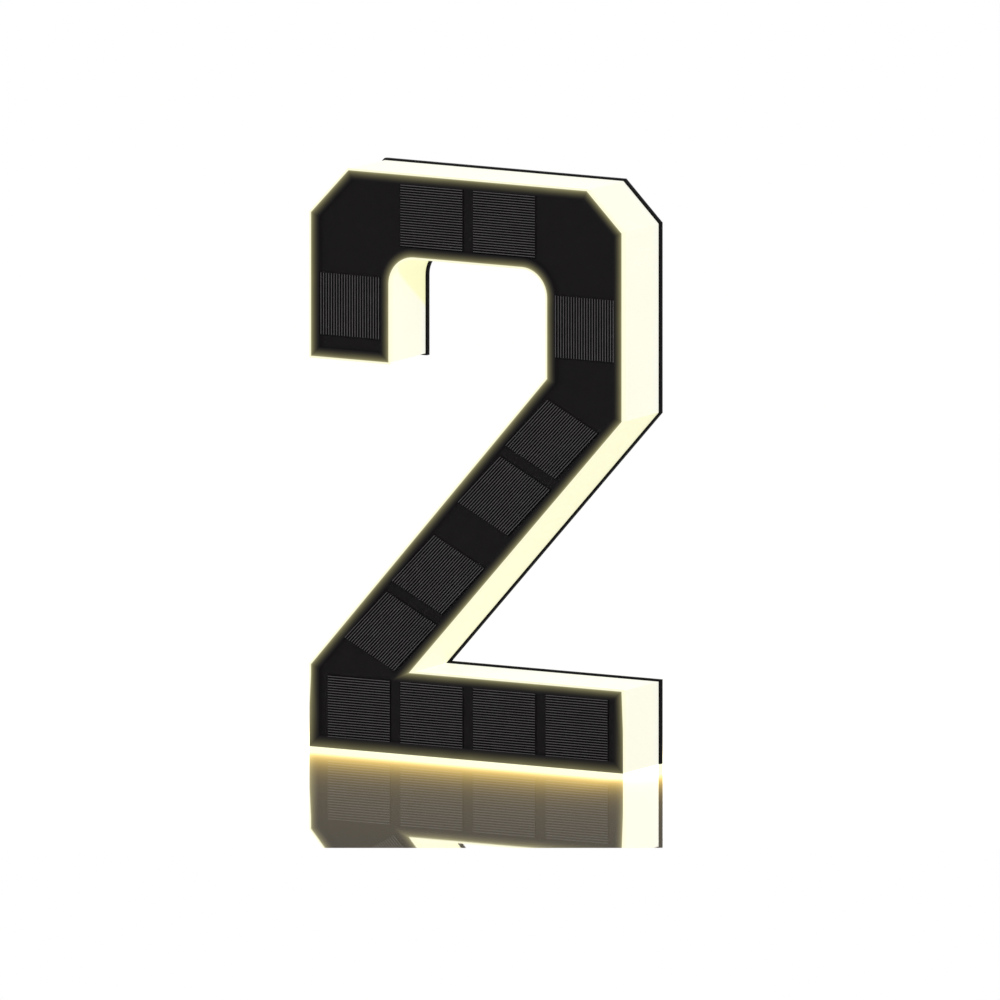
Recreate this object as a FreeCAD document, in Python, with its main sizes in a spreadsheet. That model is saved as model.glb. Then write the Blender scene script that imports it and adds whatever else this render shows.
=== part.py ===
import FreeCAD, Part

import math
import os
import re

import Sketcher
from FreeCAD import Placement, Rotation, Vector

# Illuminated house number, the figure 2, in millimetres.
# +Z is up, the lit figure faces -Y, and the origin is under the middle of its foot.
# Depths are measured from the front face towards the wall that the sign hangs on.

SIZES = (
    # the figure as seen from the front
    ("digit_height", 120.0, "foot to top"),
    ("digit_width", 73.5, "left side to right side"),
    ("base_bar", 17.05, "height of the foot bar"),
    ("top_bar", 17.05, "height of the top bar"),
    ("hook_width", 18.45, "width of the short stroke at the left"),
    ("hook_drop", 39.25, "top of the figure to the end of that stroke"),
    ("upright_width", 17.75, "width of the stroke at the right"),
    ("notch_start", 23.35, "left side to the notch over the foot bar"),
    ("underside_rise", 72.75, "height where the slanted stroke's underside meets the right side"),
    ("elbow_rise", 80.35, "height where its upper side meets the right stroke"),
    ("left_cut_width", 8.9, "cut corner at the top left"),
    ("left_cut_height", 9.4, "cut corner at the top left"),
    ("right_cut_width", 8.3, "cut corner at the top right"),
    ("right_cut_height", 8.2, "cut corner at the top right"),
    ("bay_radius", 5.9, "inner corners under the top bar"),
    # the case
    ("case_depth", 16.0, "front face to the back of the rear cover"),
    ("cover_thickness", 0.8, "clear front plate"),
    ("board_thickness", 1.0, "panel board"),
    ("wall", 2.0, "lit side wall"),
    ("wall_front", 1.3, "side wall beside the panel board"),
    ("fit_gap", 0.1, "clearance between pieces that fit together"),
    ("plate_thickness", 1.0, "rear cover"),
    ("plate_lip", 0.4, "how far the rear cover stands proud of the side wall"),
    ("spigot_height", 1.1, "rim of the rear cover inside the wall"),
    ("spigot_wall", 1.2, "thickness of that rim"),
    ("gasket_inset", 0.6, "outline to the seal"),
    ("gasket_width", 0.8, "seal"),
    ("gasket_height", 0.5, "seal"),
    ("reflector_thickness", 0.2, "white sheet on the rear cover"),
    ("reflector_inset", 3.5, "outline to the edge of the white sheet"),
    # screws of the case
    ("screw_inset", 4.6, "outline to the middle of a case screw"),
    ("boss_radius", 2.9, "screw boss in the side wall"),
    ("seat_radius", 2.4, "screw seat in the rear cover"),
    ("upper_screw_drop", 19.0, "top of the figure to the two upper screws"),
    ("elbow_screw_lift", 4.75, "elbow at the right up to its screw"),
    ("screw_radius", 1.0, "thread"),
    ("screw_length", 8.0, "below the head"),
    ("screw_head_radius", 1.8, "head"),
    ("screw_head_height", 1.2, "head"),
    ("screw_sink", 0.2, "head below the back"),
    ("drive_width", 0.5, "cross recess"),
    ("drive_depth", 0.7, "cross recess"),
    # solar cells
    ("cell_length", 14.85, "longer side of an upright cell"),
    ("cell_height", 13.0, "shorter side"),
    ("cell_thickness", 0.25, "silicon wafer"),
    ("cell_gap", 0.05, "clearance round a cell in its pocket"),
    ("cell_pitch", 17.15, "cells of the bars"),
    ("hook_cell_drop", 28.2, "top of the figure to the cell in the left stroke"),
    ("upright_cell_lift", 18.5, "end of the underside to the cell in the right stroke"),
    ("slant_offset", 11.7, "middle of the slanted stroke to the nearer cells"),
    ("slant_pitch", 16.85, "from these to the further cells"),
    ("slant_shift_x", -0.65, "row of slanted cells from the stroke's middle"),
    ("slant_shift_z", -0.3, "row of slanted cells from the stroke's middle"),
    ("slant_long", 14.5, "slanted cell, side along the stroke"),
    ("slant_short", 13.5, "slanted cell, side across the stroke"),
    ("slant_long_turn", 2.7, "degrees from the stroke's direction"),
    ("slant_short_turn", 75.4, "degrees from the stroke's direction"),
    # lamps
    ("lamp_length", 3.5, "white package"),
    ("lamp_width", 2.8, "white package"),
    ("lamp_height", 0.8, "white package"),
    ("window_length", 2.6, "yellow window"),
    ("window_width", 2.0, "yellow window"),
    ("window_depth", 0.5, "yellow window"),
    # rechargeable cell and its holder
    ("holder_start", 20.4, "left side to the holder"),
    ("holder_wall", 1.2, "end wall"),
    ("holder_floor", 1.0, "floor"),
    ("holder_rail", 0.8, "side rail"),
    ("holder_reach", 6.2, "middle to the outside of a rail"),
    ("holder_foot", 5.1, "middle to the edge of the floor"),
    ("holder_front", 4.5, "depth of the holder's front"),
    ("rail_front", 9.0, "depth of the rails' front"),
    ("battery_radius", 5.25, "rechargeable cell"),
    ("battery_depth", 8.5, "depth of its middle"),
    ("battery_length", 30.0, "with its cap"),
    ("cap_length", 0.8, "plus cap"),
    ("cap_radius", 1.9, "plus cap"),
    ("contact_thickness", 0.4, "nickel plates"),
    ("contact_reach", 4.0, "middle to the edge of a plate"),
    ("tab_reach", 1.0, "half width of a solder tab"),
    ("spring_length", 4.0, "pressed"),
    ("spring_wire", 0.35, "radius of the wire"),
    ("spring_base", 3.2, "coil radius at the plate"),
    ("spring_tip", 2.2, "coil radius at the rechargeable cell"),
    ("spring_turns", 3.0, "turns"),
    # control board
    ("control_start", 8.0, "left side to the board"),
    ("control_foot", 3.2, "foot of the figure to the board"),
    ("control_width", 10.0, "board"),
    ("control_height", 17.0, "board"),
    ("control_thickness", 1.0, "board"),
    ("control_front", 6.3, "depth of the board's front"),
    ("post_inset", 1.8, "end of the board to its screw"),
    ("post_radius", 1.6, "posts of the rear cover"),
    ("post_screw_length", 5.0, "below the head"),
    ("chip_length", 4.9, "charge chip"),
    ("chip_width", 3.9, "charge chip"),
    ("chip_height", 1.4, "charge chip"),
    ("chip_left", 1.9, "board's middle to the chip's"),
    ("chip_up", 1.8, "board's middle to the chip's"),
    ("leg_pitch", 1.27, "legs of the chip"),
    ("leg_width", 0.4, "legs of the chip"),
    ("leg_height", 0.3, "legs of the chip"),
    ("leg_span", 5.6, "tip to tip"),
    ("coil_side", 3.8, "foot of the inductor"),
    ("coil_foot", 0.6, "foot of the inductor"),
    ("coil_radius", 1.7, "winding of the inductor"),
    ("coil_height", 2.0, "inductor"),
    ("coil_left", 2.8, "board's middle to the inductor's"),
    ("coil_down", 3.1, "board's middle to the inductor's"),
    ("capacitor_width", 1.6, "capacitor"),
    ("capacitor_length", 3.2, "capacitor"),
    ("capacitor_height", 1.2, "capacitor"),
    ("capacitor_right", 1.5, "board's middle to the capacitor's"),
    ("capacitor_down", 3.0, "board's middle to the capacitor's"),
    ("diode_width", 2.6, "diode"),
    ("diode_length", 4.3, "diode"),
    ("diode_height", 2.0, "diode"),
    ("diode_right", 2.0, "board's middle to the diode's"),
    ("diode_up", 2.4, "board's middle to the diode's"),
    # push button
    ("button_radius", 3.5, "cap"),
    ("button_recess", 0.3, "cap below the back"),
    ("button_gap", 0.07, "running clearance"),
    ("button_travel", 1.2, "push"),
    ("button_round", 0.4, "rounded rim of the cap"),
    ("flange_radius", 4.0, "collar that keeps the cap in"),
    ("flange_height", 0.8, "collar that keeps the cap in"),
    ("guide_radius", 4.7, "outside of the guide"),
    ("guide_height", 1.4, "guide in front of the plate"),
    ("seal_radius", 4.1, "outside of the seal ring"),
    ("seal_height", 1.0, "seal ring"),
    ("switch_side", 5.8, "square switch"),
    ("switch_drop", 1.1, "board's middle down to the switch"),
    ("switch_height", 4.0, "square switch"),
    ("plunger_radius", 1.5, "plunger"),
    ("plunger_reach", 3.4, "plunger below the cap"),
    # hanging keyholes
    ("keyhole_margin", 14.25, "side of the figure to a keyhole"),
    ("keyhole_inset", 10.3, "top of the figure to the round opening"),
    ("keyhole_radius", 3.6, "round opening"),
    ("keyhole_slot", 1.9, "half width of the slot"),
    ("keyhole_run", 3.6, "upward run of the slot"),
    ("pocket_wall", 0.8, "closed pocket behind it"),
    ("pocket_depth", 3.0, "room for a screw head"),
    # foam pads
    ("pad_thickness", 0.8, "adhesive foam"),
    ("pad_proud", 0.4, "foam above the back"),
    ("pad_gap", 0.2, "clearance in its recess"),
    ("pad_width", 10.0, "shorter side"),
    ("top_pad_gap", 1.1, "keyhole pocket to the upper pad"),
    ("base_pad_start", 22.0, "left side to the lower pad"),
    ("base_pad_length", 36.0, "lower pad"),
    ("slant_pad_length", 20.0, "pad on the slanted stroke"),
    ("slant_pad_offset", 18.0, "from the stroke's middle to that pad's"),
    # leads
    ("lead_radius", 0.3, "insulated lead"),
    ("lead_run", 1.8, "straight run at each end"),
    ("lead_landing", 1.5, "end of a lead from the board's edge"),
    ("lead_rise", 1.9, "lowest upper lead above the bar's middle"),
    ("lead_pitch", 1.3, "between the upper leads"),
    ("minus_lead", 2.9, "minus lead below the bar's middle"),
    ("plus_lead", 4.3, "plus lead below the bar's middle"),
)

# Places that follow from the sizes.
PLACES = {
    "left": "-digit_width / 2",
    "right": "digit_width / 2",
    "notch": "left + notch_start",
    "hook_side": "left + hook_width",
    "upright_side": "right - upright_width",
    "hook_foot": "digit_height - hook_drop",
    "bay_top": "digit_height - top_bar",
    "base_middle": "base_bar / 2",
    "top_middle": "digit_height - top_bar / 2",
    "hook_middle": "left + hook_width / 2",
    "upright_middle": "right - upright_width / 2",
    "underside_heading": "atan2(underside_rise - base_bar; right - notch)",
    "topside_heading": "atan2(base_bar - elbow_rise; left - upright_side)",
    "right_cut_heading": "atan2(right_cut_height; -right_cut_width)",
    "left_cut_heading": "atan2(-left_cut_height; -left_cut_width)",
    "slant_heading": "(underside_heading + topside_heading + 180 deg) / 2",
    "slant_x": "(notch + right + left + upright_side) / 4",
    "slant_z": "(base_bar + underside_rise + base_bar + elbow_rise) / 4",
    "half_depth": "(case_depth + pad_proud) / 2",
    "cell_front": "cover_thickness - cell_thickness",
    "board_back": "cover_thickness + board_thickness",
    "lamp_back": "board_back + lamp_height",
    "plate_front": "case_depth - plate_thickness",
    "spigot_front": "plate_front - spigot_height",
    "boss_front": "lamp_back + 2 * fit_gap",
    "boss_back": "spigot_front - fit_gap",
    "reflector_front": "plate_front - reflector_thickness",
    "holder_inside": "holder_start + holder_wall",
    "can_start": "holder_inside + contact_thickness + spring_length",
    "can_length": "battery_length - cap_length",
    "cap_end": "can_start + battery_length",
    "holder_end": "cap_end + contact_thickness + holder_wall",
    "floor_front": "reflector_front - holder_floor",
    "control_x": "left + control_start + control_width / 2",
    "control_z": "control_foot + control_height / 2",
    "control_back": "control_front + control_thickness",
    "control_edge": "left + control_start + control_width",
    "lower_post": "control_foot + post_inset",
    "upper_post": "control_foot + control_height - post_inset",
    "switch_z": "control_z - switch_drop",
    "guide_front": "plate_front - guide_height",
    "flange_back": "guide_front - fit_gap",
    "flange_front": "flange_back - flange_height",
    "button_back": "case_depth - button_recess",
    "plunger_front": "flange_front - plunger_reach",
    "bore_front": "plunger_front - button_travel - fit_gap",
    "switch_back": "control_back + switch_height",
    "keyhole_rise": "digit_height - keyhole_inset",
    "keyhole_top": "keyhole_rise + keyhole_run",
    "pocket_outside": "keyhole_radius + pocket_wall",
    "pocket_front": "plate_front - pocket_depth",
    "keyhole_x": "right - keyhole_margin",
    "pad_seat": "case_depth + pad_proud - pad_thickness",
    "plus_tab": "left + cap_end",
    "minus_tab": "left + holder_inside",
    "screw_seat": "case_depth - screw_sink - screw_head_height",
}

# The figure's corners in order round it: place, height and heading of the side that leaves each one.
# A fourth entry is the radius of a rounded inner corner.
OUTLINE = (
    ("left", "0", "0 deg"),
    ("right", "0", "90 deg"),
    ("right", "base_bar", "180 deg"),
    ("notch", "base_bar", "underside_heading"),
    ("right", "underside_rise", "90 deg"),
    ("right", "digit_height - right_cut_height", "right_cut_heading"),
    ("right - right_cut_width", "digit_height", "180 deg"),
    ("left + left_cut_width", "digit_height", "left_cut_heading"),
    ("left", "digit_height - left_cut_height", "270 deg"),
    ("left", "hook_foot", "0 deg"),
    ("hook_side", "hook_foot", "90 deg"),
    ("hook_side", "bay_top", "0 deg", "bay_radius"),
    ("upright_side", "bay_top", "270 deg", "bay_radius"),
    ("upright_side", "elbow_rise", "topside_heading"),
    ("left", "base_bar", "270 deg"),
)

START, END, CENTRE = 1, 2, 3
AXES = -1

document = FreeCAD.newDocument("house_number")
sheet = document.addObject("Spreadsheet::Sheet", "sizes")
for row, (alias, size, note) in enumerate(SIZES, 1):
    sheet.set(f"A{row}", alias.replace("_", " "))
    sheet.set(f"B{row}", str(size))
    sheet.setAlias(f"B{row}", alias)
    sheet.set(f"C{row}", note)
document.recompute()

ALIASES = {alias for alias, size, note in SIZES}
NODES = []


def linked(formula):
    """A formula in the words above, as an expression on the sheet."""
    def link(word):
        name = word.group()
        if name in PLACES:
            return "(" + linked(PLACES[name]) + ")"
        return "sizes." + name if name in ALIASES else name
    return re.sub(r"[a-z][a-z_]+", link, str(formula))


def value(formula):
    """What a formula comes to now."""
    result = sheet.evalExpression(linked(formula))
    return getattr(result, "Value", result)


def bind(item, **formulas):
    """Tie an object's properties to formulas."""
    for name, formula in formulas.items():
        item.setExpression(name, linked(formula))


def behind(depth):
    """The Y of a depth behind the front face."""
    return f"{depth} - half_depth"


# Sketches

def hold(sketch, kind, where, formula):
    """Add a dimension to a sketch and tie it to a formula."""
    constraint = Sketcher.Constraint(kind, *where, value(formula))
    number = sketch.addConstraint(constraint)
    sketch.setExpression(f"Constraints[{number}]", linked(formula))


def pin(sketch, edge, end, x, z):
    """Hold one point of a sketch across and up from the origin."""
    hold(sketch, "DistanceX", (AXES, START, edge, end), x)
    hold(sketch, "DistanceY", (AXES, START, edge, end), z)


def inner_arc(start, finish, radius, heading):
    """A rounded inner corner, which turns clockwise from its start to its finish."""
    turn = math.radians(heading)
    centre = start + Vector(math.sin(turn), -math.cos(turn), 0) * radius
    first = finish - centre
    last = start - centre
    circle = Part.Circle(centre, Vector(0, 0, 1), radius)
    return Part.ArcOfCircle(circle, math.atan2(first.y, first.x), math.atan2(last.y, last.x))


def loop(*spots):
    """A closed outline; a spot with a radius and a heading starts a rounded inner corner."""
    def draw(sketch):
        first = sketch.GeometryCount
        points = [Vector(value(spot[0]), value(spot[1]), 0) for spot in spots]
        ends = []
        for spot, here, there in zip(spots, points, points[1:] + points[:1]):
            if len(spot) == 2:
                sketch.addGeometry(Part.LineSegment(here, there))
                ends.append((START, END))
            else:
                sketch.addGeometry(inner_arc(here, there, value(spot[2]), value(spot[3])))
                ends.append((END, START))
        for side, spot in enumerate(spots):
            after = (side + 1) % len(spots)
            meet = (first + side, ends[side][1], first + after, ends[after][0])
            sketch.addConstraint(Sketcher.Constraint("Coincident", *meet))
        for side, spot in enumerate(spots):
            pin(sketch, first + side, ends[side][0], spot[0], spot[1])
            if len(spot) > 2:
                hold(sketch, "Radius", (first + side,), spot[2])
    return draw


def digit(inset):
    """The figure's outline with every side moved in by the inset."""
    spots = []
    for number, corner in enumerate(OUTLINE):
        before = OUTLINE[number - 1][2]
        after = corner[2]
        share = f"({inset}) / (1 + cos({after} - ({before})))"
        x = f"{corner[0]} - (sin({before}) + sin({after})) * {share}"
        z = f"{corner[1]} + (cos({before}) + cos({after})) * {share}"
        if len(corner) == 3:
            spots.append((x, z))
            continue
        radius = f"({corner[3]} + ({inset}))"
        spots.append((f"{x} - {radius} * cos({before})", f"{z} - {radius} * sin({before})", radius, before))
        spots.append((f"{x} + {radius} * cos({after})", f"{z} + {radius} * sin({after})"))
    return loop(*spots)


def disc(x, z, radius):
    """A full circle."""
    def draw(sketch):
        circle = Part.Circle(Vector(value(x), value(z), 0), Vector(0, 0, 1), value(radius))
        edge = sketch.addGeometry(circle)
        pin(sketch, edge, CENTRE, x, z)
        hold(sketch, "Radius", (edge,), radius)
    return draw


def block(low_x, high_x, low_z, high_z):
    """An upright rectangle."""
    return loop((low_x, low_z), (high_x, low_z), (high_x, high_z), (low_x, high_z))


def middled(x, z, width, height):
    """An upright rectangle round its middle."""
    return block(f"{x} - ({width}) / 2", f"{x} + ({width}) / 2",
                 f"{z} - ({height}) / 2", f"{z} + ({height}) / 2")


def slanted(x, z, along, across, along_heading, across_heading):
    """A four-sided shape round its middle, from the length and heading of two sides."""
    step_x = (f"({along}) * cos({along_heading}) / 2", f"({across}) * cos({across_heading}) / 2")
    step_z = (f"({along}) * sin({along_heading}) / 2", f"({across}) * sin({across_heading}) / 2")
    signs = (("-", "-"), ("-", "+"), ("+", "+"), ("+", "-"))
    return loop(*((f"{x} {a} {step_x[0]} {b} {step_x[1]}", f"{z} {a} {step_z[0]} {b} {step_z[1]}")
                  for a, b in signs))


# Pieces

def new_body(name):
    body = document.addObject("PartDesign::Body", name)
    body.Label = name
    NODES.append(body)
    return body


def profile(body, name, depth, shapes):
    """A sketch parallel to the front face at a depth behind it."""
    sketch = body.newObject("Sketcher::SketchObject", name + "_sketch")
    plane = next(item for item in body.Origin.OriginFeatures if item.Role == "XZ_Plane")
    sketch.AttachmentSupport = [(plane, "")]
    sketch.MapMode = "FlatFace"
    sketch.setExpression("AttachmentOffset.Base.z", linked(f"half_depth - ({depth})"))
    for shape in shapes:
        shape(sketch)
    return sketch


def pad(body, name, depth, length, *shapes):
    """Add material from a depth towards the back."""
    feature = body.newObject("PartDesign::Pad", name)
    feature.Profile = profile(body, name, depth, shapes)
    feature.Reversed = True
    bind(feature, Length=length)
    document.recompute()
    return feature


def cut(body, name, depth, length, *shapes):
    """Take material away from a depth towards the back."""
    before = body.Shape.Volume
    feature = body.newObject("PartDesign::Pocket", name)
    feature.Profile = profile(body, name, depth, shapes)
    bind(feature, Length=length)
    document.recompute()
    if not body.Shape.Volume < before:
        raise RuntimeError(f"{name} takes nothing away")
    return feature


def plain(name, depth, length, *shapes):
    """A piece that is one flat outline with a thickness."""
    body = new_body(name)
    pad(body, name + "_pad", depth, length, *shapes)
    return body


def barrel(name, start, radius, length, depth, height):
    """A round bar that lies along X."""
    bar = document.addObject("Part::Cylinder", name)
    bar.Label = name
    bar.Placement = Placement(Vector(), Rotation(Vector(0, 1, 0), 90))
    bind(bar, Radius=radius, Height=length)
    bar.setExpression("Placement.Base.x", linked(start))
    bar.setExpression("Placement.Base.y", linked(behind(depth)))
    bar.setExpression("Placement.Base.z", linked(height))
    NODES.append(bar)
    return bar


# Where things repeat

def slant_spot(distance):
    """A point of the slanted stroke, so far up along its middle."""
    return f"slant_x + ({distance}) * cos(slant_heading)", f"slant_z + ({distance}) * sin(slant_heading)"


def slant_row():
    """The slanted cells from the foot upwards, as their distances along the stroke."""
    return ("-slant_offset - slant_pitch", "-slant_offset", "slant_offset", "slant_offset + slant_pitch")


def upright_cell(x, z):
    """Middle and outline of an upright cell."""
    def outline(gap):
        return middled(x, z, f"cell_length + 2 * ({gap})", f"cell_height + 2 * ({gap})")
    return x, z, outline


def slant_cell(distance):
    """Middle and outline of a cell in the slanted stroke."""
    x, z = slant_spot(distance)
    x += " + slant_shift_x"
    z += " + slant_shift_z"

    def outline(gap):
        return slanted(x, z, f"slant_long + 2 * ({gap})", f"slant_short + 2 * ({gap})",
                       "slant_heading - slant_long_turn * 1 deg", "slant_heading - slant_short_turn * 1 deg")
    return x, z, outline


def bar_cell(number, z):
    """A cell of the foot bar or of the top bar, on their common spacing of four places."""
    return upright_cell(f"({number} - 1.5) * cell_pitch", z)


CELLS = {f"base_{number + 1}": bar_cell(number, "base_middle") for number in range(4)}
CELLS.update({f"diagonal_{number + 1}": slant_cell(distance) for number, distance in enumerate(slant_row())})
CELLS.update({f"top_{number}": bar_cell(number, "top_middle") for number in (1, 2)})
CELLS["hook"] = upright_cell("hook_middle", "digit_height - hook_cell_drop")
CELLS["upright"] = upright_cell("upright_middle", "underside_rise + upright_cell_lift")

SCREWS = (
    ("left + screw_inset", "screw_inset"),
    ("right - screw_inset", "screw_inset"),
    ("(left + upright_side) / 2 - screw_inset * sin(topside_heading)",
     "(base_bar + elbow_rise) / 2 + screw_inset * cos(topside_heading)"),
    ("right - screw_inset", "underside_rise + elbow_screw_lift"),
    ("left + screw_inset", "hook_foot + screw_inset"),
    ("left + screw_inset", "digit_height - upper_screw_drop"),
    ("right - screw_inset", "digit_height - upper_screw_drop"),
)
POSTS = (("control_x", "lower_post"), ("control_x", "upper_post"))
KEYHOLES = ("-keyhole_x", "keyhole_x")
BUTTON = ("control_x", "switch_z")


def at_screws(radius):
    return [disc(x, z, radius) for x, z in SCREWS]


def at_posts(radius):
    return [disc(x, z, radius) for x, z in POSTS]


def keyhole_shapes(radius):
    """The round bottom, the round top and the middle of an upright slot, for both keyholes."""
    return ([disc(x, "keyhole_rise", radius) for x in KEYHOLES],
            [disc(x, "keyhole_top", radius) for x in KEYHOLES],
            [block(f"{x} - {radius}", f"{x} + {radius}", "keyhole_rise", "keyhole_top") for x in KEYHOLES])


def pads_of_foam(gap):
    """Outlines of the three foam pads, grown by a gap."""
    width = f"pad_width + 2 * ({gap})"
    x, z = slant_spot("-slant_pad_offset")
    return {
        "top": middled("0", "top_middle",
                       f"2 * (keyhole_x - pocket_outside - top_pad_gap + ({gap}))", width),
        "diagonal": slanted(x, z, f"slant_pad_length + 2 * ({gap})", width,
                            "slant_heading", "slant_heading - 90 deg"),
        "base": middled("left + base_pad_start + base_pad_length / 2", "base_middle",
                        f"base_pad_length + 2 * ({gap})", width),
    }


# The case

def make_front_cover():
    body = plain("front_cover", "0", "cover_thickness", digit("0"))
    cut(body, "cell_pockets", "cell_front", "cell_thickness",
        *(outline("cell_gap") for x, z, outline in CELLS.values()))


def make_solar_cells():
    for name, (x, z, outline) in CELLS.items():
        plain("solar_cell_" + name, "cell_front", "cell_thickness", outline("0"))


def make_panel_board():
    plain("panel_board", "cover_thickness", "board_thickness", digit("wall_front + fit_gap"))


def make_light_body():
    """The lit wall with a rebate for the board, bosses for the screws and a groove for the seal."""
    body = new_body("light_body")
    pad(body, "wall_ring", "cover_thickness", "plate_front - cover_thickness", digit("0"), digit("wall"))
    cut(body, "board_rebate", "cover_thickness", "board_thickness", digit("wall_front"))
    pad(body, "screw_bosses", "boss_front", "boss_back - (boss_front)", *at_screws("boss_radius"))
    cut(body, "screw_pilots", "boss_back - screw_length", "screw_length",
        *at_screws("screw_radius - fit_gap"))
    cut(body, "seal_groove", "plate_front - gasket_height", "gasket_height",
        digit("gasket_inset"), digit("gasket_inset + gasket_width"))


def make_gasket():
    plain("gasket", "plate_front - gasket_height", "gasket_height",
          digit("gasket_inset"), digit("gasket_inset + gasket_width"))


def make_back_cover():
    """The rear plate: rim, screw seats, posts, button guide, keyhole pockets and recesses."""
    body = new_body("back_cover")
    pad(body, "rear_plate", "plate_front", "plate_thickness", digit("-plate_lip"))
    cut(body, "level_foot", "plate_front", "plate_thickness",
        block("left - 2 * plate_lip", "right + 2 * plate_lip", "-2 * plate_lip", "0"))
    pad(body, "spigot", "spigot_front", "spigot_height",
        digit("wall + fit_gap"), digit("wall + fit_gap + spigot_wall"))
    pad(body, "screw_seats", "spigot_front", "spigot_height", *at_screws("seat_radius"))
    pad(body, "control_posts", "control_back", "plate_front - control_back", *at_posts("post_radius"))
    pad(body, "button_guide", "guide_front", "guide_height", disc(*BUTTON, "guide_radius"))
    for number, shapes in enumerate(keyhole_shapes("pocket_outside")):
        pad(body, f"keyhole_pocket_{number}", "pocket_front - pocket_wall",
            "pocket_depth + pocket_wall", *shapes)
    for number, shapes in enumerate(keyhole_shapes("keyhole_radius")):
        cut(body, f"keyhole_room_{number}", "pocket_front", "pocket_depth", *shapes)
    cut(body, "keyhole_openings", "plate_front", "plate_thickness",
        *(disc(x, "keyhole_rise", "keyhole_radius") for x in KEYHOLES))
    cut(body, "keyhole_slots", "plate_front", "plate_thickness",
        *(block(f"{x} - keyhole_slot", f"{x} + keyhole_slot", "keyhole_rise", "keyhole_top")
          for x in KEYHOLES))
    cut(body, "keyhole_ends", "plate_front", "plate_thickness",
        *(disc(x, "keyhole_top", "keyhole_slot") for x in KEYHOLES))
    cut(body, "screw_holes", "spigot_front", "case_depth - spigot_front",
        *at_screws("screw_radius + fit_gap"))
    cut(body, "head_recesses", "screw_seat", "screw_sink + screw_head_height",
        *at_screws("screw_head_radius + fit_gap"))
    cut(body, "post_pilots", "control_back", "post_screw_length", *at_posts("screw_radius - fit_gap"))
    cut(body, "button_hole", "guide_front", "case_depth - guide_front",
        disc(*BUTTON, "button_radius + button_gap"))
    cut(body, "seal_seat", "guide_front", "seal_height", disc(*BUTTON, "seal_radius"))
    cut(body, "pad_recesses", "pad_seat", "case_depth - pad_seat", *pads_of_foam("pad_gap").values())


def make_reflector_sheet():
    body = plain("reflector_sheet", "reflector_front", "reflector_thickness", digit("reflector_inset"))
    reach = ("reflector_front", "reflector_thickness")
    cut(body, "seat_holes", *reach, *at_screws("seat_radius + 2 * fit_gap"))
    cut(body, "post_holes", *reach, *at_posts("post_radius + 2 * fit_gap"))
    cut(body, "guide_hole", *reach, disc(*BUTTON, "guide_radius + fit_gap"))
    for number, shapes in enumerate(keyhole_shapes("(pocket_outside + 2 * fit_gap)")):
        cut(body, f"pocket_hole_{number}", *reach, *shapes)


# Lamps

def lamp_spots():
    """Two lamps behind each cell, set apart along its stroke."""
    rows = {}
    for name, (x, z, outline) in CELLS.items():
        stroke = name.split("_")[0]
        if stroke == "diagonal":
            steps = ("cos(slant_heading) * slant_long / 4", "sin(slant_heading) * slant_long / 4")
        elif stroke in ("hook", "upright"):
            steps = ("0", "cell_height / 4")
        else:
            steps = ("cell_length / 4", "0")
        for sign in ("-", "+"):
            rows.setdefault(stroke, []).append((f"{x} {sign} {steps[0]}", f"{z} {sign} {steps[1]}"))
    return rows


def make_lamps():
    for stroke, spots in lamp_spots().items():
        windows = [middled(x, z, "window_length", "window_width") for x, z in spots]
        body = plain("led_row_" + stroke, "board_back", "lamp_height",
                     *(middled(x, z, "lamp_length", "lamp_width") for x, z in spots))
        cut(body, stroke + "_cups", "lamp_back - window_depth", "window_depth", *windows)
        plain("led_window_" + stroke, "lamp_back - window_depth", "window_depth", *windows)


# Rechargeable cell

def make_battery_holder():
    start = "left + holder_start"
    end = "left + holder_end"
    body = new_body("battery_holder")
    pad(body, "holder_floor_pad", "floor_front", "holder_floor",
        block(start, end, "base_middle - holder_foot", "base_middle + holder_foot"))
    pad(body, "holder_ends", "holder_front", "floor_front - holder_front",
        block(start, f"{start} + holder_wall", "base_middle - holder_reach", "base_middle + holder_reach"),
        block(f"{end} - holder_wall", end, "base_middle - holder_reach", "base_middle + holder_reach"))
    pad(body, "holder_rails", "rail_front", "floor_front - rail_front",
        block(start, end, "base_middle - holder_reach", "base_middle - holder_reach + holder_rail"),
        block(start, end, "base_middle + holder_reach - holder_rail", "base_middle + holder_reach"))


def make_contacts():
    """Nickel plates at both ends, each with a tab folded over the end wall."""
    tab_front = "holder_front - contact_thickness"
    rows = (
        ("positive_contact", "plus_tab", "plus_tab + contact_thickness", "plus_tab",
         "plus_tab + contact_thickness + holder_wall", "plus_lead"),
        ("negative_contact", "minus_tab", "minus_tab + contact_thickness",
         "minus_tab - holder_wall / 2", "minus_tab + contact_thickness", "minus_lead"),
    )
    for name, plate_start, plate_end, tab_start, tab_end, lead in rows:
        body = new_body(name)
        pad(body, name + "_plate", tab_front, f"floor_front - ({tab_front}) - fit_gap",
            block(plate_start, plate_end, "base_middle - contact_reach", "base_middle + contact_reach"))
        pad(body, name + "_tab", tab_front, "contact_thickness",
            block(tab_start, tab_end,
                  f"base_middle - {lead} - tab_reach", f"base_middle - {lead} + tab_reach"))


def make_battery():
    start = "left + can_start"
    barrel("battery_cell", start, "battery_radius", "can_length", "battery_depth", "base_middle")
    barrel("battery_cap", f"{start} + can_length", "cap_radius", "cap_length", "battery_depth", "base_middle")


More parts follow.
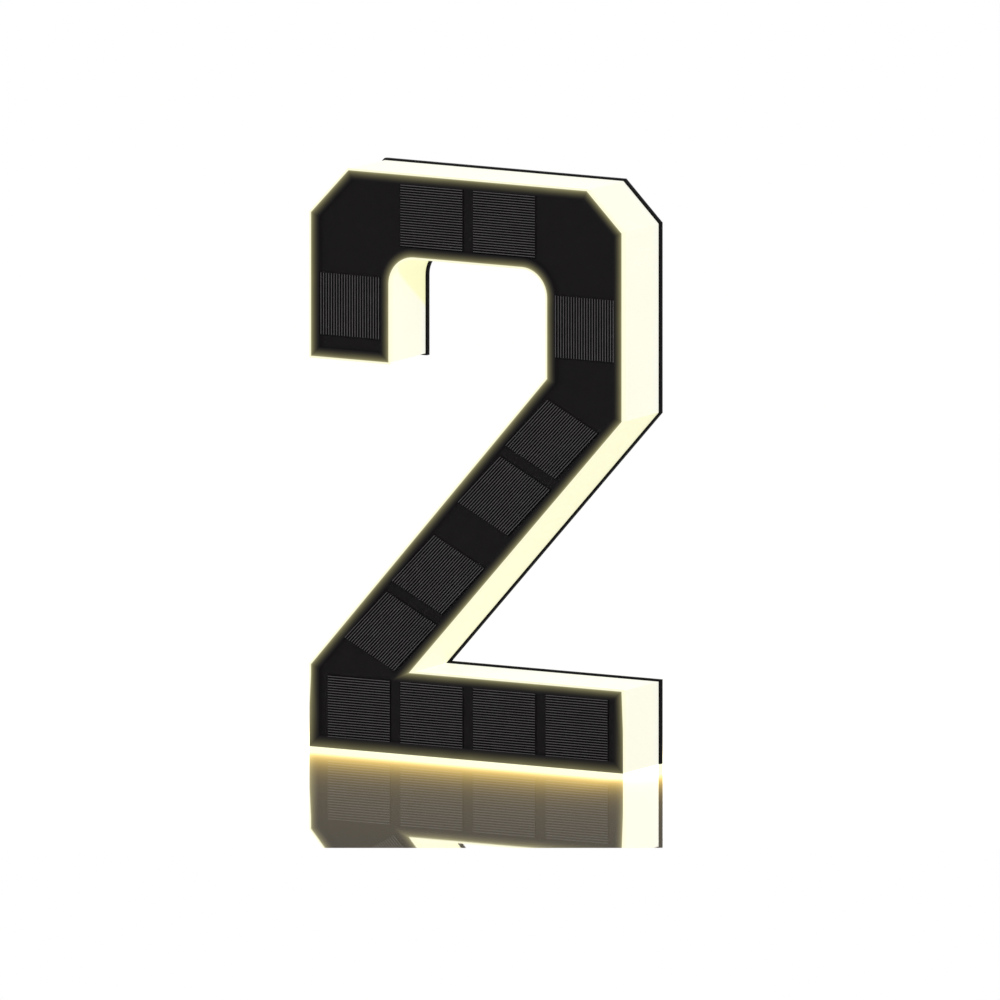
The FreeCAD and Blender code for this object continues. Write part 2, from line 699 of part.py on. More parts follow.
def make_negative_spring():
    """A tapered coil between the minus plate and the rechargeable cell."""
    length = value("spring_length - 2 * spring_wire")
    wide = value("spring_base")
    taper = math.degrees(math.atan2(value("spring_tip") - wide, length))
    path = Part.makeHelix(length / value("spring_turns"), length, wide, taper)
    section = Part.Wire(Part.makeCircle(value("spring_wire"), Vector(wide, 0, 0), Vector(0, 1, 0)))
    spring = document.addObject("Part::Feature", "negative_spring")
    spring.Label = "negative_spring"
    spring.Shape = Part.Wire(path.Edges).makePipeShell([section], True, True)
    start = Vector(value("minus_tab + contact_thickness + spring_wire"), value(behind("battery_depth")),
                   value("base_middle"))
    spring.Placement = Placement(start, Rotation(Vector(0, 1, 0), 90))
    NODES.append(spring)


# Control board and button

def make_control_board():
    plain("control_board", "control_front", "control_thickness",
          middled("control_x", "control_z", "control_width", "control_height"),
          *at_posts("screw_radius + fit_gap"))


def make_components():
    """What stands on the front of the control board."""
    x = "control_x - chip_left"
    z = "control_z + chip_up"
    chip = plain("charge_chip", "control_front - chip_height", "chip_height",
                 middled(x, z, "chip_length", "chip_width"))
    legs = [middled(f"{x} + ({number} - 1.5) * leg_pitch", z, "leg_width", "leg_span") for number in range(4)]
    pad(chip, "chip_legs", "control_front - leg_height", "leg_height", *legs)
    x = "control_x - coil_left"
    z = "control_z - coil_down"
    coil = plain("inductor", "control_front - coil_foot", "coil_foot",
                 middled(x, z, "coil_side", "coil_side"))
    pad(coil, "winding", "control_front - coil_height", "coil_height - coil_foot", disc(x, z, "coil_radius"))
    plain("capacitor", "control_front - capacitor_height", "capacitor_height",
          middled("control_x + capacitor_right", "control_z - capacitor_down",
                  "capacitor_width", "capacitor_length"))
    plain("diode", "control_front - diode_height", "diode_height",
          middled("control_x + diode_right", "control_z + diode_up", "diode_width", "diode_length"))


def make_switch_body():
    body = plain("switch_body", "control_back", "switch_height",
                 middled(*BUTTON, "switch_side", "switch_side"))
    cut(body, "plunger_bore", "bore_front", "switch_back - bore_front",
        disc(*BUTTON, "plunger_radius + button_gap"))


def make_button():
    body = new_body("power_button")
    cap = pad(body, "cap", "flange_back", "button_back - (flange_back)",
              disc(*BUTTON, "button_radius"))
    rim = next(number for number, edge in enumerate(body.Shape.Edges, 1)
               if edge.BoundBox.YMin > value(behind("button_back")) - 0.01)
    rounding = body.newObject("PartDesign::Fillet", "rim_round")
    rounding.Base = (cap, [f"Edge{rim}"])
    bind(rounding, Radius="button_round")
    document.recompute()
    pad(body, "flange", "flange_front", "flange_height",
        disc(*BUTTON, "flange_radius"))
    plain("switch_plunger", "plunger_front", "plunger_reach",
          disc(*BUTTON, "plunger_radius"))
    plain("button_seal", "guide_front", "seal_height",
          disc(*BUTTON, "seal_radius"),
          disc(*BUTTON, "button_radius + button_gap"))


# Fasteners and foam pads

def cross(spots, length):
    """The two slots of a cross recess at each spot, as two lists."""
    return ([middled(x, z, length, "drive_width") for x, z in spots],
            [middled(x, z, "drive_width", length) for x, z in spots])


def make_case_screws():
    """Pan-head screws, driven from the back."""
    body = plain("case_screws", "screw_seat", "screw_head_height", *at_screws("screw_head_radius"))
    shank = "screw_length - fit_gap"
    pad(body, "case_shanks", f"screw_seat - ({shank})", shank, *at_screws("screw_radius - fit_gap"))
    for number, slots in enumerate(cross(SCREWS, "1.2 * screw_head_radius")):
        cut(body, f"case_drive_{number}", "case_depth - screw_sink - drive_depth", "drive_depth", *slots)


def make_board_screws():
    """Pan-head screws, driven from the front."""
    head_front = "control_front - screw_head_height"
    body = plain("board_screws", head_front, "screw_head_height", *at_posts("screw_head_radius"))
    pad(body, "board_shanks", "control_front", "post_screw_length", *at_posts("screw_radius - fit_gap"))
    for number, slots in enumerate(cross(POSTS, "1.2 * screw_head_radius")):
        cut(body, f"board_drive_{number}", head_front, "drive_depth", *slots)


def make_foam_pads():
    for name, outline in pads_of_foam("0").items():
        plain("adhesive_pad_" + name, "pad_seat", "pad_thickness", outline)


# Leads

def tube(name, spots, height):
    """A lead through spots of (x, depth) at one height: straight runs joined by tangent arcs."""
    z = value(height)
    points = [Vector(value(x), value(behind(depth)), z) for x, depth in spots]
    radius = value("lead_radius")
    edges = []
    here = points[0]
    for before, corner, after in zip(points, points[1:], points[2:]):
        inward = (corner - before).normalize()
        outward = (after - corner).normalize()
        turn = inward.getAngle(outward)
        reach = 0.45 * min((corner - before).Length, (after - corner).Length)
        bend = reach / math.tan(turn / 2)
        print(name, "bend radius", round(bend, 2))
        enter = corner - inward * reach
        leave = corner + outward * reach
        middle = corner + (outward - inward).normalize() * (bend / math.cos(turn / 2) - bend)
        edges.append(Part.LineSegment(here, enter).toShape())
        edges.append(Part.Arc(enter, middle, leave).toShape())
        here = leave
    edges.append(Part.LineSegment(here, points[-1]).toShape())
    path = Part.Wire(edges)
    section = Part.Wire(Part.makeCircle(radius, points[0], points[1] - points[0]))
    lead = document.addObject("Part::Feature", name)
    lead.Label = name
    lead.Shape = path.makePipeShell([section], True, False)
    expected = math.pi * radius ** 2 * path.Length
    if abs(lead.Shape.Volume - expected) > 0.01 * expected:
        raise RuntimeError(f"{name} isn't a full tube")
    NODES.append(lead)


def make_leads():
    """Leads that step back from the panel board, or from a contact's tab, to the control board."""
    landing = "control_front - lead_radius"
    end = "control_edge - lead_landing"
    low = f"{end} + lead_run"
    board = "board_back + lead_radius"
    high = f"{low} + {landing} - ({board})"
    for number, kind in enumerate(("led_wire_black", "led_wire_red", "solar_wire_black", "solar_wire_red")):
        tube(kind, ((f"{high} + lead_run", board), (high, board), (low, landing), (end, landing)),
             f"base_middle + lead_rise + {number} * lead_pitch")
    tab = "holder_front - contact_thickness - lead_radius"
    high = f"{low} + {landing} - ({tab})"
    for name, start, lead in (("battery_wire_black", "minus_tab", "minus_lead"),
                              ("battery_wire_red", "plus_tab", "plus_lead")):
        tube(name, ((f"{start} + contact_thickness", tab), (high, tab), (low, landing), (end, landing)),
             f"base_middle - {lead}")


def check_and_write():
    """Test every object of the document, then write each piece to its own file."""
    document.recompute()
    for item in document.Objects:
        if "Invalid" in item.State or "Error" in item.State:
            raise RuntimeError(f"{item.Label} failed")
    for node in NODES:
        if node.Shape.isNull() or not node.Shape.isValid() or not node.Shape.Solids:
            raise RuntimeError(f"{node.Label} has no sound solid")
    os.makedirs("parts", exist_ok=True)
    for node in NODES:
        node.Shape.exportStep(f"parts/{node.Label}.step")
    print(len(NODES), "pieces written")


make_front_cover()
make_solar_cells()
make_panel_board()
make_light_body()
make_gasket()
make_back_cover()
make_reflector_sheet()
make_lamps()
make_battery_holder()
make_contacts()
make_battery()
make_negative_spring()
make_control_board()
make_components()
make_switch_body()
make_button()
make_case_screws()
make_board_screws()
make_foam_pads()
make_leads()
check_and_write()
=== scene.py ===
import contextlib
import math

import bmesh
import bpy
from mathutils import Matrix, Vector


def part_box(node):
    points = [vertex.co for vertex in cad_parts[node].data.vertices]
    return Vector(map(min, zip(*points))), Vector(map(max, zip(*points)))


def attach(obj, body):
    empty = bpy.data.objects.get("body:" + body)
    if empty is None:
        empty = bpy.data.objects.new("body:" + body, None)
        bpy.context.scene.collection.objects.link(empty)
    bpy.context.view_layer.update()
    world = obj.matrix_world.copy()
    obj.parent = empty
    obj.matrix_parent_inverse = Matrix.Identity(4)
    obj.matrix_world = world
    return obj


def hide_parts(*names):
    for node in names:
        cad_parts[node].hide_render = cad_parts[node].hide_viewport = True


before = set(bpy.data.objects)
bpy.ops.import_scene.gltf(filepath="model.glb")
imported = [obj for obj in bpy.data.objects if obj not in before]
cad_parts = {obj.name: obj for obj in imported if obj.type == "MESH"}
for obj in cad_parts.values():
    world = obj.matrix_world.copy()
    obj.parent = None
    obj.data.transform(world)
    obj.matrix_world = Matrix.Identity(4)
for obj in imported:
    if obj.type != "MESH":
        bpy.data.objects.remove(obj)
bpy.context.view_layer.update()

bl_info = {
    "name": "Solar House Number",
    "version": (1, 0, 0),
    "blender": (4, 5, 0),
    "location": "View3D > Sidebar > House Number",
    "description": "Finishes the solar house number and sets it on a glossy studio floor",
    "category": "Object",
}

# The row frame: +Z up, the lit figure faces -Y, metres.
MM = 0.001
FACE_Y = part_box("front_cover")[0].y
COVER_BACK_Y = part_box("front_cover")[1].y
PLATE_BACK_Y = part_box("back_cover")[1].y
TOLERANCE = 0.02 * MM

# Strength of the even light that reaches the sign from all sides.
PLAIN_LIGHT = 0.5
# Painted light on the floor round the sign's foot, seen by the camera only: colour, reach in mm
# and strength of each ring.
PAINTED_FLOOR_GLOW = (
    ((1.0, 0.67, 0.13), 9.3, 2.65),
    ((1.0, 1.0, 1.0), 2.0, 20.0),
    ((1.0, 0.75, 0.32), 150.0, 0.085),
)
# Brightest that the painted floor light may get.
PAINTED_FLOOR_GLOW_LIMIT = (1.0, 1.0, 0.72)
# Soft lamps: name, place, size in m and power in W.
LAMPS = (
    ("key_lamp", (-0.7, -1.0, 1.0), 0.8, 7.0),
    ("side_lamp", (1.2, -0.4, 0.7), 0.8, 5.0),
)
# Finger hollow of the push button: width and drop of each step in mm, from the rim inwards.
HOLLOW = ((0.25, 0.02), (0.5, 0.09), (0.6, 0.05), (0.7, 0.03))


# ---------------------------------------------------------------- settings

class SIGN_PG_face(bpy.types.PropertyGroup):
    """Clear cast plate in front of the solar cells"""

    edge_round: bpy.props.FloatProperty(
        name="Edge rounding", description="Rounded front edge of the clear plate",
        default=0.12 * MM, unit="LENGTH")
    edge_flare: bpy.props.FloatProperty(
        name="Edge flare", description="How far the front edge stands proud of the side wall",
        default=0.38 * MM, unit="LENGTH")
    # The rim, glow and skin settings below are painted light that stands in for the lamps' light
    # in the plate's edge.
    painted_rim_width: bpy.props.FloatProperty(
        name="Lit rim", description="Front of the plate that is as bright as its edge",
        default=0.34 * MM, unit="LENGTH")
    painted_glow_reach: bpy.props.FloatProperty(
        name="Glow reach", description="How far the light creeps in from that rim",
        default=1.9 * MM, unit="LENGTH")
    painted_glow_strength: bpy.props.FloatProperty(
        name="Glow strength", description="Brightness of that light next to the rim",
        default=0.215, min=0.0)
    painted_glow_colour: bpy.props.FloatVectorProperty(
        name="Glow colour", description="Colour of that light",
        default=(1.0, 0.92, 0.45), size=3, subtype="COLOR")
    painted_skin_depth: bpy.props.FloatProperty(
        name="Bright skin", description="Depth in which the brightest glow dies away",
        default=0.15 * MM, unit="LENGTH")
    painted_skin_strength: bpy.props.FloatProperty(
        name="Skin strength", description="Brightness that the skin adds next to the rim",
        default=0.2, min=0.0)
    painted_skin_colour: bpy.props.FloatVectorProperty(
        name="Skin colour", description="Colour of the brightest glow",
        default=(1.0, 1.0, 0.5), size=3, subtype="COLOR")
    painted_rim_light: bpy.props.FloatVectorProperty(
        name="Lit edge", description="Light that leaves the plate's edge",
        default=(1.0, 0.98, 0.72), size=3, subtype="COLOR")
    smoke: bpy.props.FloatProperty(
        name="Smoke", description="How much the plate darkens what lies behind it",
        default=0.3, min=0.0, max=1.0, subtype="FACTOR")
    pocket_smoke: bpy.props.FloatProperty(
        name="Smoke in the pockets", description="What the rear of the plate adds over a cell",
        default=0.02, min=0.0, max=1.0, subtype="FACTOR")


class SIGN_PG_cells(bpy.types.PropertyGroup):
    """Solar cells and their printed silver lines"""

    line_count: bpy.props.IntProperty(
        name="Lines", description="Silver lines on each cell", default=24, min=2)
    line_share: bpy.props.FloatProperty(
        name="Line width", description="Width of a line as a share of the pitch",
        default=0.3, min=0.05, max=1.0, subtype="FACTOR")
    margin: bpy.props.FloatProperty(
        name="Margin", description="Edge of a cell to the ends of its lines",
        default=0.12 * MM, unit="LENGTH")
    border: bpy.props.FloatVectorProperty(
        name="Border", description="Print beyond the ends of the lines",
        default=(0.0145, 0.0128, 0.0137), size=3, subtype="COLOR")
    slant_long: bpy.props.FloatProperty(
        name="Slanted cell, long side", description="Side along the slanted stroke",
        default=14.5 * MM, unit="LENGTH")
    slant_short: bpy.props.FloatProperty(
        name="Slanted cell, short side", description="Side across the slanted stroke",
        default=13.5 * MM, unit="LENGTH")
    slant_long_angle: bpy.props.FloatProperty(
        name="Long side's direction", description="Above the horizontal",
        default=math.radians(45.6), subtype="ANGLE")
    slant_short_angle: bpy.props.FloatProperty(
        name="Short side's direction", description="Above the horizontal",
        default=math.radians(-27.1), subtype="ANGLE")
    silver: bpy.props.FloatVectorProperty(
        name="Silver", description="Printed lines",
        default=(0.160, 0.152, 0.156), size=3, subtype="COLOR")
    silicon: bpy.props.FloatVectorProperty(
        name="Silicon", description="Cell between the lines",
        default=(0.0025, 0.002, 0.0025), size=3, subtype="COLOR")


class SIGN_PG_body(bpy.types.PropertyGroup):
    """Milky side wall that carries the light, shown as painted glow and painted shade"""

    # The wall's three colours below are painted glow, from the front to the rear.
    painted_front_glow: bpy.props.FloatVectorProperty(
        name="Wall at the front", description="Light next to the clear plate",
        default=(1.0, 0.985, 0.70), size=3, subtype="COLOR")
    painted_middle_glow: bpy.props.FloatVectorProperty(
        name="Wall", description="Light over most of the wall",
        default=(0.99, 0.985, 0.815), size=3, subtype="COLOR")
    painted_rear_glow: bpy.props.FloatVectorProperty(
        name="Wall at the rear", description="Light next to the rear cover",
        default=(0.98, 0.98, 0.88), size=3, subtype="COLOR")
    # Painted shade: the faces that look down get a yellower glow.
    painted_underside_shade: bpy.props.FloatVectorProperty(
        name="Underside", description="Light of the faces that look down",
        default=(1.0, 0.98, 0.52), size=3, subtype="COLOR")
    # Painted shade in the bay under the top bar, on its faces that look to +X.
    painted_shade_height: bpy.props.FloatProperty(
        name="Shaded bay, height", description="Where the shade under the top bar ends in front",
        default=101.7 * MM, unit="LENGTH")
    painted_shade_slope: bpy.props.FloatProperty(
        name="Shaded bay, slope", description="How fast that end drops towards the rear",
        default=0.735)
    painted_shade_right: bpy.props.FloatProperty(
        name="Shaded bay, right end", description="Limit of the shade to the right",
        default=-10.0 * MM, unit="LENGTH")
    # Strength of the wall's painted glow.
    painted_wall_glow: bpy.props.FloatProperty(
        name="Own light", description="Share of the wall's brightness that is its own light",
        default=0.755, min=0.0, max=2.0)


class SIGN_PG_rear(bpy.types.PropertyGroup):
    """Rear cover, push button and foam pads"""

    edge_round: bpy.props.FloatProperty(
        name="Edge rounding", description="Edges of the rear cover",
        default=0.15 * MM, unit="LENGTH")
    plastic: bpy.props.FloatVectorProperty(
        name="Plastic", description="Black moulded plastic",
        default=(0.005, 0.005, 0.0053), size=3, subtype="COLOR")
    mark_height: bpy.props.FloatProperty(
        name="Lettering", description="Height of the words beside the push button",
        default=2.2 * MM, unit="LENGTH")
    mark_drop: bpy.props.FloatProperty(
        name="Lettering's place", description="Foot of the words below the push button",
        default=3.4 * MM, unit="LENGTH")
    mark_colour: bpy.props.FloatVectorProperty(
        name="Lettering's colour", description="Print on the raised words",
        default=(0.55, 0.55, 0.53), size=3, subtype="COLOR")
    pad_round: bpy.props.FloatProperty(
        name="Pad corners", description="Corner radius of the foam pads",
        default=1.2 * MM, unit="LENGTH")


class SIGN_PG_stage(bpy.types.PropertyGroup):
    """Floor, light and camera"""

    azimuth: bpy.props.FloatProperty(
        name="Azimuth", description="Camera round the sign, 0 looks along +Y",
        default=math.radians(30.0), subtype="ANGLE")
    elevation: bpy.props.FloatProperty(
        name="Elevation", description="Camera above the horizon",
        default=math.radians(8.77), subtype="ANGLE")
    view_width: bpy.props.FloatProperty(
        name="View width", description="Width that the camera takes in",
        default=0.2045, unit="LENGTH")
    aim_right: bpy.props.FloatProperty(
        name="Aim right", description="Middle of the picture from the sign's origin",
        default=0.0028, unit="LENGTH")
    aim_up: bpy.props.FloatProperty(
        name="Aim up", description="Middle of the picture from the sign's origin",
        default=0.0521, unit="LENGTH")
    floor_front: bpy.props.FloatProperty(
        name="Floor's front edge", description="From the sign's origin towards the camera",
        default=0.125, unit="LENGTH")
    floor_size: bpy.props.FloatProperty(
        name="Floor size", description="Side of the floor", default=1.6, unit="LENGTH")
    mirror: bpy.props.FloatProperty(
        name="Gloss", description="Share of the floor's brightness that is mirrored",
        default=0.96, min=0.0, max=1.0, subtype="FACTOR")


# ---------------------------------------------------------------- modelling helpers

@contextlib.contextmanager
def editing(piece):
    """Edit mode on one piece, with nothing selected at the start."""
    for other in bpy.context.selected_objects:
        other.select_set(False)
    piece.select_set(True)
    bpy.context.view_layer.objects.active = piece
    bpy.ops.object.mode_set(mode="EDIT")
    bpy.ops.mesh.select_all(action="DESELECT")
    yield piece
    bpy.ops.object.mode_set(mode="OBJECT")
    piece.select_set(False)


def nothing_selected():
    """Deselects every object, so that an operator acts on its own piece alone."""
    for other in bpy.context.selected_objects:
        other.select_set(False)


def pick_faces(piece, test):
    """Selects the faces that pass a test, in edit mode."""
    bpy.ops.mesh.select_mode(type="FACE")
    bpy.ops.mesh.select_all(action="DESELECT")
    shape = bmesh.from_edit_mesh(piece.data)
    for face in shape.faces:
        face.select_set(bool(test(face)))
    bmesh.update_edit_mesh(piece.data)


def pick_edges(piece, test):
    """Selects the edges that pass a test, in edit mode."""
    bpy.ops.mesh.select_mode(type="EDGE")
    bpy.ops.mesh.select_all(action="DESELECT")
    shape = bmesh.from_edit_mesh(piece.data)
    for edge in shape.edges:
        edge.select_set(bool(test(edge)))
    bmesh.update_edit_mesh(piece.data)


def give_faces(piece, index, test):
    """Gives the faces that pass a test one of the piece's materials."""
    for face in piece.data.polygons:
        if test(face):
            face.material_index = index


def copy_of(node, name, flats=lambda side: True):
    """A piece with a solid's shape, its triangles joined and the picked flats made whole."""
    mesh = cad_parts[node].data.copy()
    mesh.name = name
    mesh.materials.clear()
    piece = bpy.data.objects.new(name, mesh)
    bpy.context.scene.collection.objects.link(piece)
    with editing(piece):
        bpy.ops.mesh.customdata_custom_splitnormals_clear()
        bpy.ops.mesh.select_all(action="SELECT")
        bpy.ops.mesh.remove_doubles(threshold=0.002 * MM)
        pick_faces(piece, flats)
        bpy.ops.mesh.dissolve_limited(angle_limit=math.radians(0.5))
    return piece


def flare(piece, reach):
    """Moves the front edge of a plate outwards by an even reach, except along its foot."""
    shape = bmesh.from_edit_mesh(piece.data)
    for corner in [v for v in shape.verts if v.co.y < FACE_Y + TOLERANCE]:
        sides = [side.normal for side in corner.link_faces if abs(side.normal.y) < 0.1]
        reaches = [0.0 if side.z < -0.99 and corner.co.z < TOLERANCE else reach
                   for side in sides]
        first, second = sides[0], sides[-1]
        across = first.dot(second)
        if len(sides) < 2 or across > 0.99999:
            shift = first * reaches[0]
        else:
            shift = ((first - second * across) * reaches[0]
                     + (second - first * across) * reaches[-1]) / (1.0 - across ** 2)
        corner.co += shift
    bmesh.update_edit_mesh(piece.data)


def rounded(piece, width, segments=2, angle=35.0):
    """Rounds a piece's sharp edges with a modifier that is applied."""
    bevel = piece.modifiers.new("rounded", "BEVEL")
    bevel.width = width
    bevel.segments = segments
    bevel.limit_method = "ANGLE"
    bevel.angle_limit = math.radians(angle)
    bevel.harden_normals = False
    nothing_selected()
    bpy.context.view_layer.objects.active = piece
    piece.select_set(True)
    bpy.ops.object.modifier_apply(modifier=bevel.name)
    piece.select_set(False)


def smooth(piece, angle=32.0):
    """Smooth shading between faces that meet at less than an angle."""
    nothing_selected()
    bpy.context.view_layer.objects.active = piece
    piece.select_set(True)
    bpy.ops.object.shade_smooth_by_angle(angle=math.radians(angle))
    piece.select_set(False)


def placed(piece):
    """Puts a piece's place into its mesh, so that its object lies at the origin."""
    nothing_selected()
    bpy.context.view_layer.objects.active = piece
    piece.select_set(True)
    bpy.ops.object.transform_apply(location=True, rotation=True, scale=True)
    piece.select_set(False)


def stand_for(piece, body, slot, *nodes):
    """Lets a piece move with a body and show in the place of its solids."""
    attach(piece, body)
    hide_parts(*nodes)


# ---------------------------------------------------------------- material helpers

class Finish:
    """A material made of nodes, with its shader and short ways to add to it."""

    def __init__(self, name, **sockets):
        self.material = bpy.data.materials.new(name)
        self.material.use_nodes = True
        self.tree = self.material.node_tree
        self.shader = self.tree.nodes["Principled BSDF"]
        self.place = self.tree.nodes.new("ShaderNodeTexCoord").outputs["Object"]
        for socket, value in sockets.items():
            self.plain(socket.replace("_", " "), value)

    def plain(self, socket, value):
        """Sets a value that is the same all over the surface."""
        colour = hasattr(value, "__len__") and len(value) == 3
        self.shader.inputs[socket].default_value = (*value, 1.0) if colour else value

    def link(self, value, socket):
        """Feeds a shader's socket."""
        self.tree.links.new(value, self.shader.inputs[socket])

    def _feed(self, node, inputs):
        for index, value in enumerate(inputs):
            if isinstance(value, bpy.types.NodeSocket):
                self.tree.links.new(value, node.inputs[index])
            elif value is not None:
                node.inputs[index].default_value = value

    def sum(self, operation, *inputs):
        """A step of arithmetic on numbers."""
        node = self.tree.nodes.new("ShaderNodeMath")
        node.operation = operation
        self._feed(node, inputs)
        return node.outputs[0]

    def vector(self, operation, *inputs):
        """A step of arithmetic on vectors."""
        node = self.tree.nodes.new("ShaderNodeVectorMath")
        node.operation = operation
        self._feed(node, inputs)
        number = operation in ("DOT_PRODUCT", "LENGTH", "DISTANCE")
        return node.outputs["Value" if number else "Vector"]

    def axis(self, which):
        """One coordinate of the place on the piece."""
        node = self.tree.nodes.new("ShaderNodeSeparateXYZ")
        self.tree.links.new(self.place, node.inputs[0])
        return node.outputs[which]

    def ramp(self, value, low, high):
        """0 at the low end to 1 at the high end, smooth between."""
        node = self.tree.nodes.new("ShaderNodeMapRange")
        node.interpolation_type = "SMOOTHSTEP"
        self._feed(node, (value, low, high, 0.0, 1.0))
        return node.outputs[0]

    def mix(self, share, first, second):
        """A colour between two colours."""
        node = self.tree.nodes.new("ShaderNodeMix")
        node.data_type = "RGBA"
        for index, value in ((0, share), (6, first), (7, second)):
            if isinstance(value, bpy.types.NodeSocket):
                self.tree.links.new(value, node.inputs[index])
            elif index == 0:
                node.inputs[index].default_value = value
            else:
                node.inputs[index].default_value = (*value, 1.0)
        return node.outputs[2]

    def noise(self, size, detail=3.0, stretch=None):
        """Cloudy variation whose grains have about the given size."""
        node = self.tree.nodes.new("ShaderNodeTexNoise")
        node.inputs["Scale"].default_value = 1.0 / size
        node.inputs["Detail"].default_value = detail
        place = self.place
        if stretch:
            place = self.vector("MULTIPLY", self.place, stretch)
        self.tree.links.new(place, node.inputs["Vector"])
        return node.outputs[0]

    def grains(self, size, feature="F1"):
        """Distance to the middle, or to the edge, of grains of the given size."""
        node = self.tree.nodes.new("ShaderNodeTexVoronoi")
        node.feature = feature
        node.inputs["Scale"].default_value = 1.0 / size
        self.tree.links.new(self.place, node.inputs["Vector"])
        return node.outputs["Distance"]

    def vary(self, socket, value, low, high):
        """Lets a number of the shader swing between two values."""
        node = self.tree.nodes.new("ShaderNodeMapRange")
        self._feed(node, (value, 0.3, 0.7, low, high))
        self.link(node.outputs[0], socket)

    def relief(self, height, depth, strength=1.0):
        """Fine relief that only the light shows, of a depth in metres."""
        node = self.tree.nodes.new("ShaderNodeBump")
        node.inputs["Strength"].default_value = strength
        node.inputs["Distance"].default_value = depth
        self.tree.links.new(height, node.inputs["Height"])
        self.link(node.outputs[0], "Normal")

    def tint(self, value, first, second):
        """Base colour that wanders between two colours."""
        self.link(self.mix(value, first, second), "Base Color")


def shade(colour, share):
    """A colour, darker or lighter by a share."""
    return tuple(min(1.0, channel * share) for channel in colour)


def dress(node, finish):
    """Gives a solid its material."""
    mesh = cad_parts[node].data
    mesh.materials.clear()
    mesh.materials.append(finish.material)


def nodes_named(start):
    """The solids whose names begin in one way."""
    return sorted(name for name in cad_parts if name.startswith(start))


# ---------------------------------------------------------------- finishes

def clear_resin(name, smoke):
    """Smoked clear resin over the cells, its smoke in faint clouds."""
    finish = Finish(name, Base_Color=(0.0, 0.0, 0.0), Roughness=0.12, Specular_IOR_Level=0.0)
    finish.vary("Alpha", finish.noise(14.0 * MM), 0.95 * smoke, 1.05 * smoke)
    return finish


def glowing_resin(face):
    """The same resin along its edge, with a painted glow that stands in for the lamps' light
    inside.
    """
    finish = Finish("clear_resin_painted_glow", Roughness=0.12, Specular_IOR_Level=0.08)
    near = finish.tree.nodes.new("ShaderNodeAttribute")
    near.attribute_name = "edge_distance"
    # Painted glow: a broad and a narrow falloff from the lit rim inwards, a little uneven at
    # random.
    inward = finish.sum("SUBTRACT", near.outputs["Fac"], face.painted_rim_width)
    distance = finish.sum("MAXIMUM", inward, 0.0)
    share = finish.sum("DIVIDE", distance, face.painted_glow_reach)
    rest = finish.sum("MAXIMUM", finish.sum("SUBTRACT", 1.0, share), 0.0)
    broad = finish.sum("MULTIPLY", finish.sum("POWER", rest, 2.0), face.painted_glow_strength)
    decay = finish.sum("DIVIDE", distance, -face.painted_skin_depth)
    narrow = finish.sum("MULTIPLY", finish.sum("EXPONENT", decay), face.painted_skin_strength)
    uneven = finish.ramp(finish.noise(9.0 * MM, 2.0), 0.2, 0.8)
    lively = finish.sum("MULTIPLY_ADD", uneven, 0.25, 0.87)
    light = finish.vector("SCALE", tuple(face.painted_glow_colour), None, None,
                          finish.sum("MULTIPLY", broad, lively))
    skin = finish.vector("SCALE", tuple(face.painted_skin_colour), None, None, narrow)
    outer = finish.ramp(inward, 0.03 * MM, -0.03 * MM)
    finish.link(finish.mix(outer, finish.vector("ADD", light, skin), face.painted_rim_light),
                "Emission Color")
    finish.plain("Emission Strength", 1.0)
    finish.tint(finish.noise(2.0 * MM), (0.0085, 0.0075, 0.008), (0.011, 0.0098, 0.0102))
    return finish


def lit_edge(face):
    """The resin's rounded edge, painted to glow as if the light of the lamps came out there."""
    finish = Finish("clear_resin_painted_rim_light", Roughness=0.2, Specular_IOR_Level=0.3,
                    Emission_Strength=0.8)
    finish.link(finish.mix(finish.noise(5.0 * MM, 2.0), face.painted_rim_light,
                           shade(face.painted_rim_light, 0.9)), "Emission Color")
    finish.tint(finish.noise(3.0 * MM), shade(face.painted_rim_light, 0.2),
                shade(face.painted_rim_light, 0.26))
    return finish


def silver_lines(finish, cells, centre, long_side, short_side):
    """The silver lines of one cell with any two sides, and the field that they fill."""
    area = long_side.cross(short_side).y
    across = Vector((-short_side.z, 0.0, short_side.x)) / area
    along = Vector((long_side.z, 0.0, -long_side.x)) / area
    across, along = (-across if across.dot(long_side) < 0 else across,
                     -along if along.dot(short_side) < 0 else along)
    offset = finish.vector("SUBTRACT", finish.place, tuple(centre))
    run = finish.sum("ABSOLUTE", finish.vector("DOT_PRODUCT", offset, tuple(across)))
    inside = finish.sum("LESS_THAN", run, 0.5 - cells.margin / long_side.length)
    rank = finish.vector("DOT_PRODUCT", offset, tuple(along))
    step = finish.sum("FRACT", finish.sum("MULTIPLY_ADD", rank, cells.line_count,
                                          0.5 * cells.line_count))
    middle = finish.sum("ABSOLUTE", finish.sum("SUBTRACT", step, 0.5))
    half, soft = 0.5 * cells.line_share, 0.06
    line = finish.ramp(middle, half + soft, half - soft)
    return finish.sum("MULTIPLY", line, inside), inside


def solar_silicon(cells, name, centre, long_side, short_side):
    """Black silicon with silver lines and a crystal grain that is hardly seen."""
    finish = Finish(name, Specular_IOR_Level=0.06)
    lines, inside = silver_lines(finish, cells, centre, long_side, short_side)
    grain = finish.mix(finish.noise(1.6 * MM, 4.0), cells.silicon,
                       shade(cells.silicon, 1.6))
    worn = finish.mix(finish.noise(3.0 * MM, 2.0), shade(cells.silver, 0.8),
                      shade(cells.silver, 1.15))
    plain = finish.mix(inside, cells.border, grain)
    finish.link(finish.mix(lines, plain, worn), "Base Color")
    finish.vary("Roughness", finish.noise(0.8 * MM), 0.3, 0.5)
    finish.relief(lines, 0.01 * MM, 0.4)
    return finish


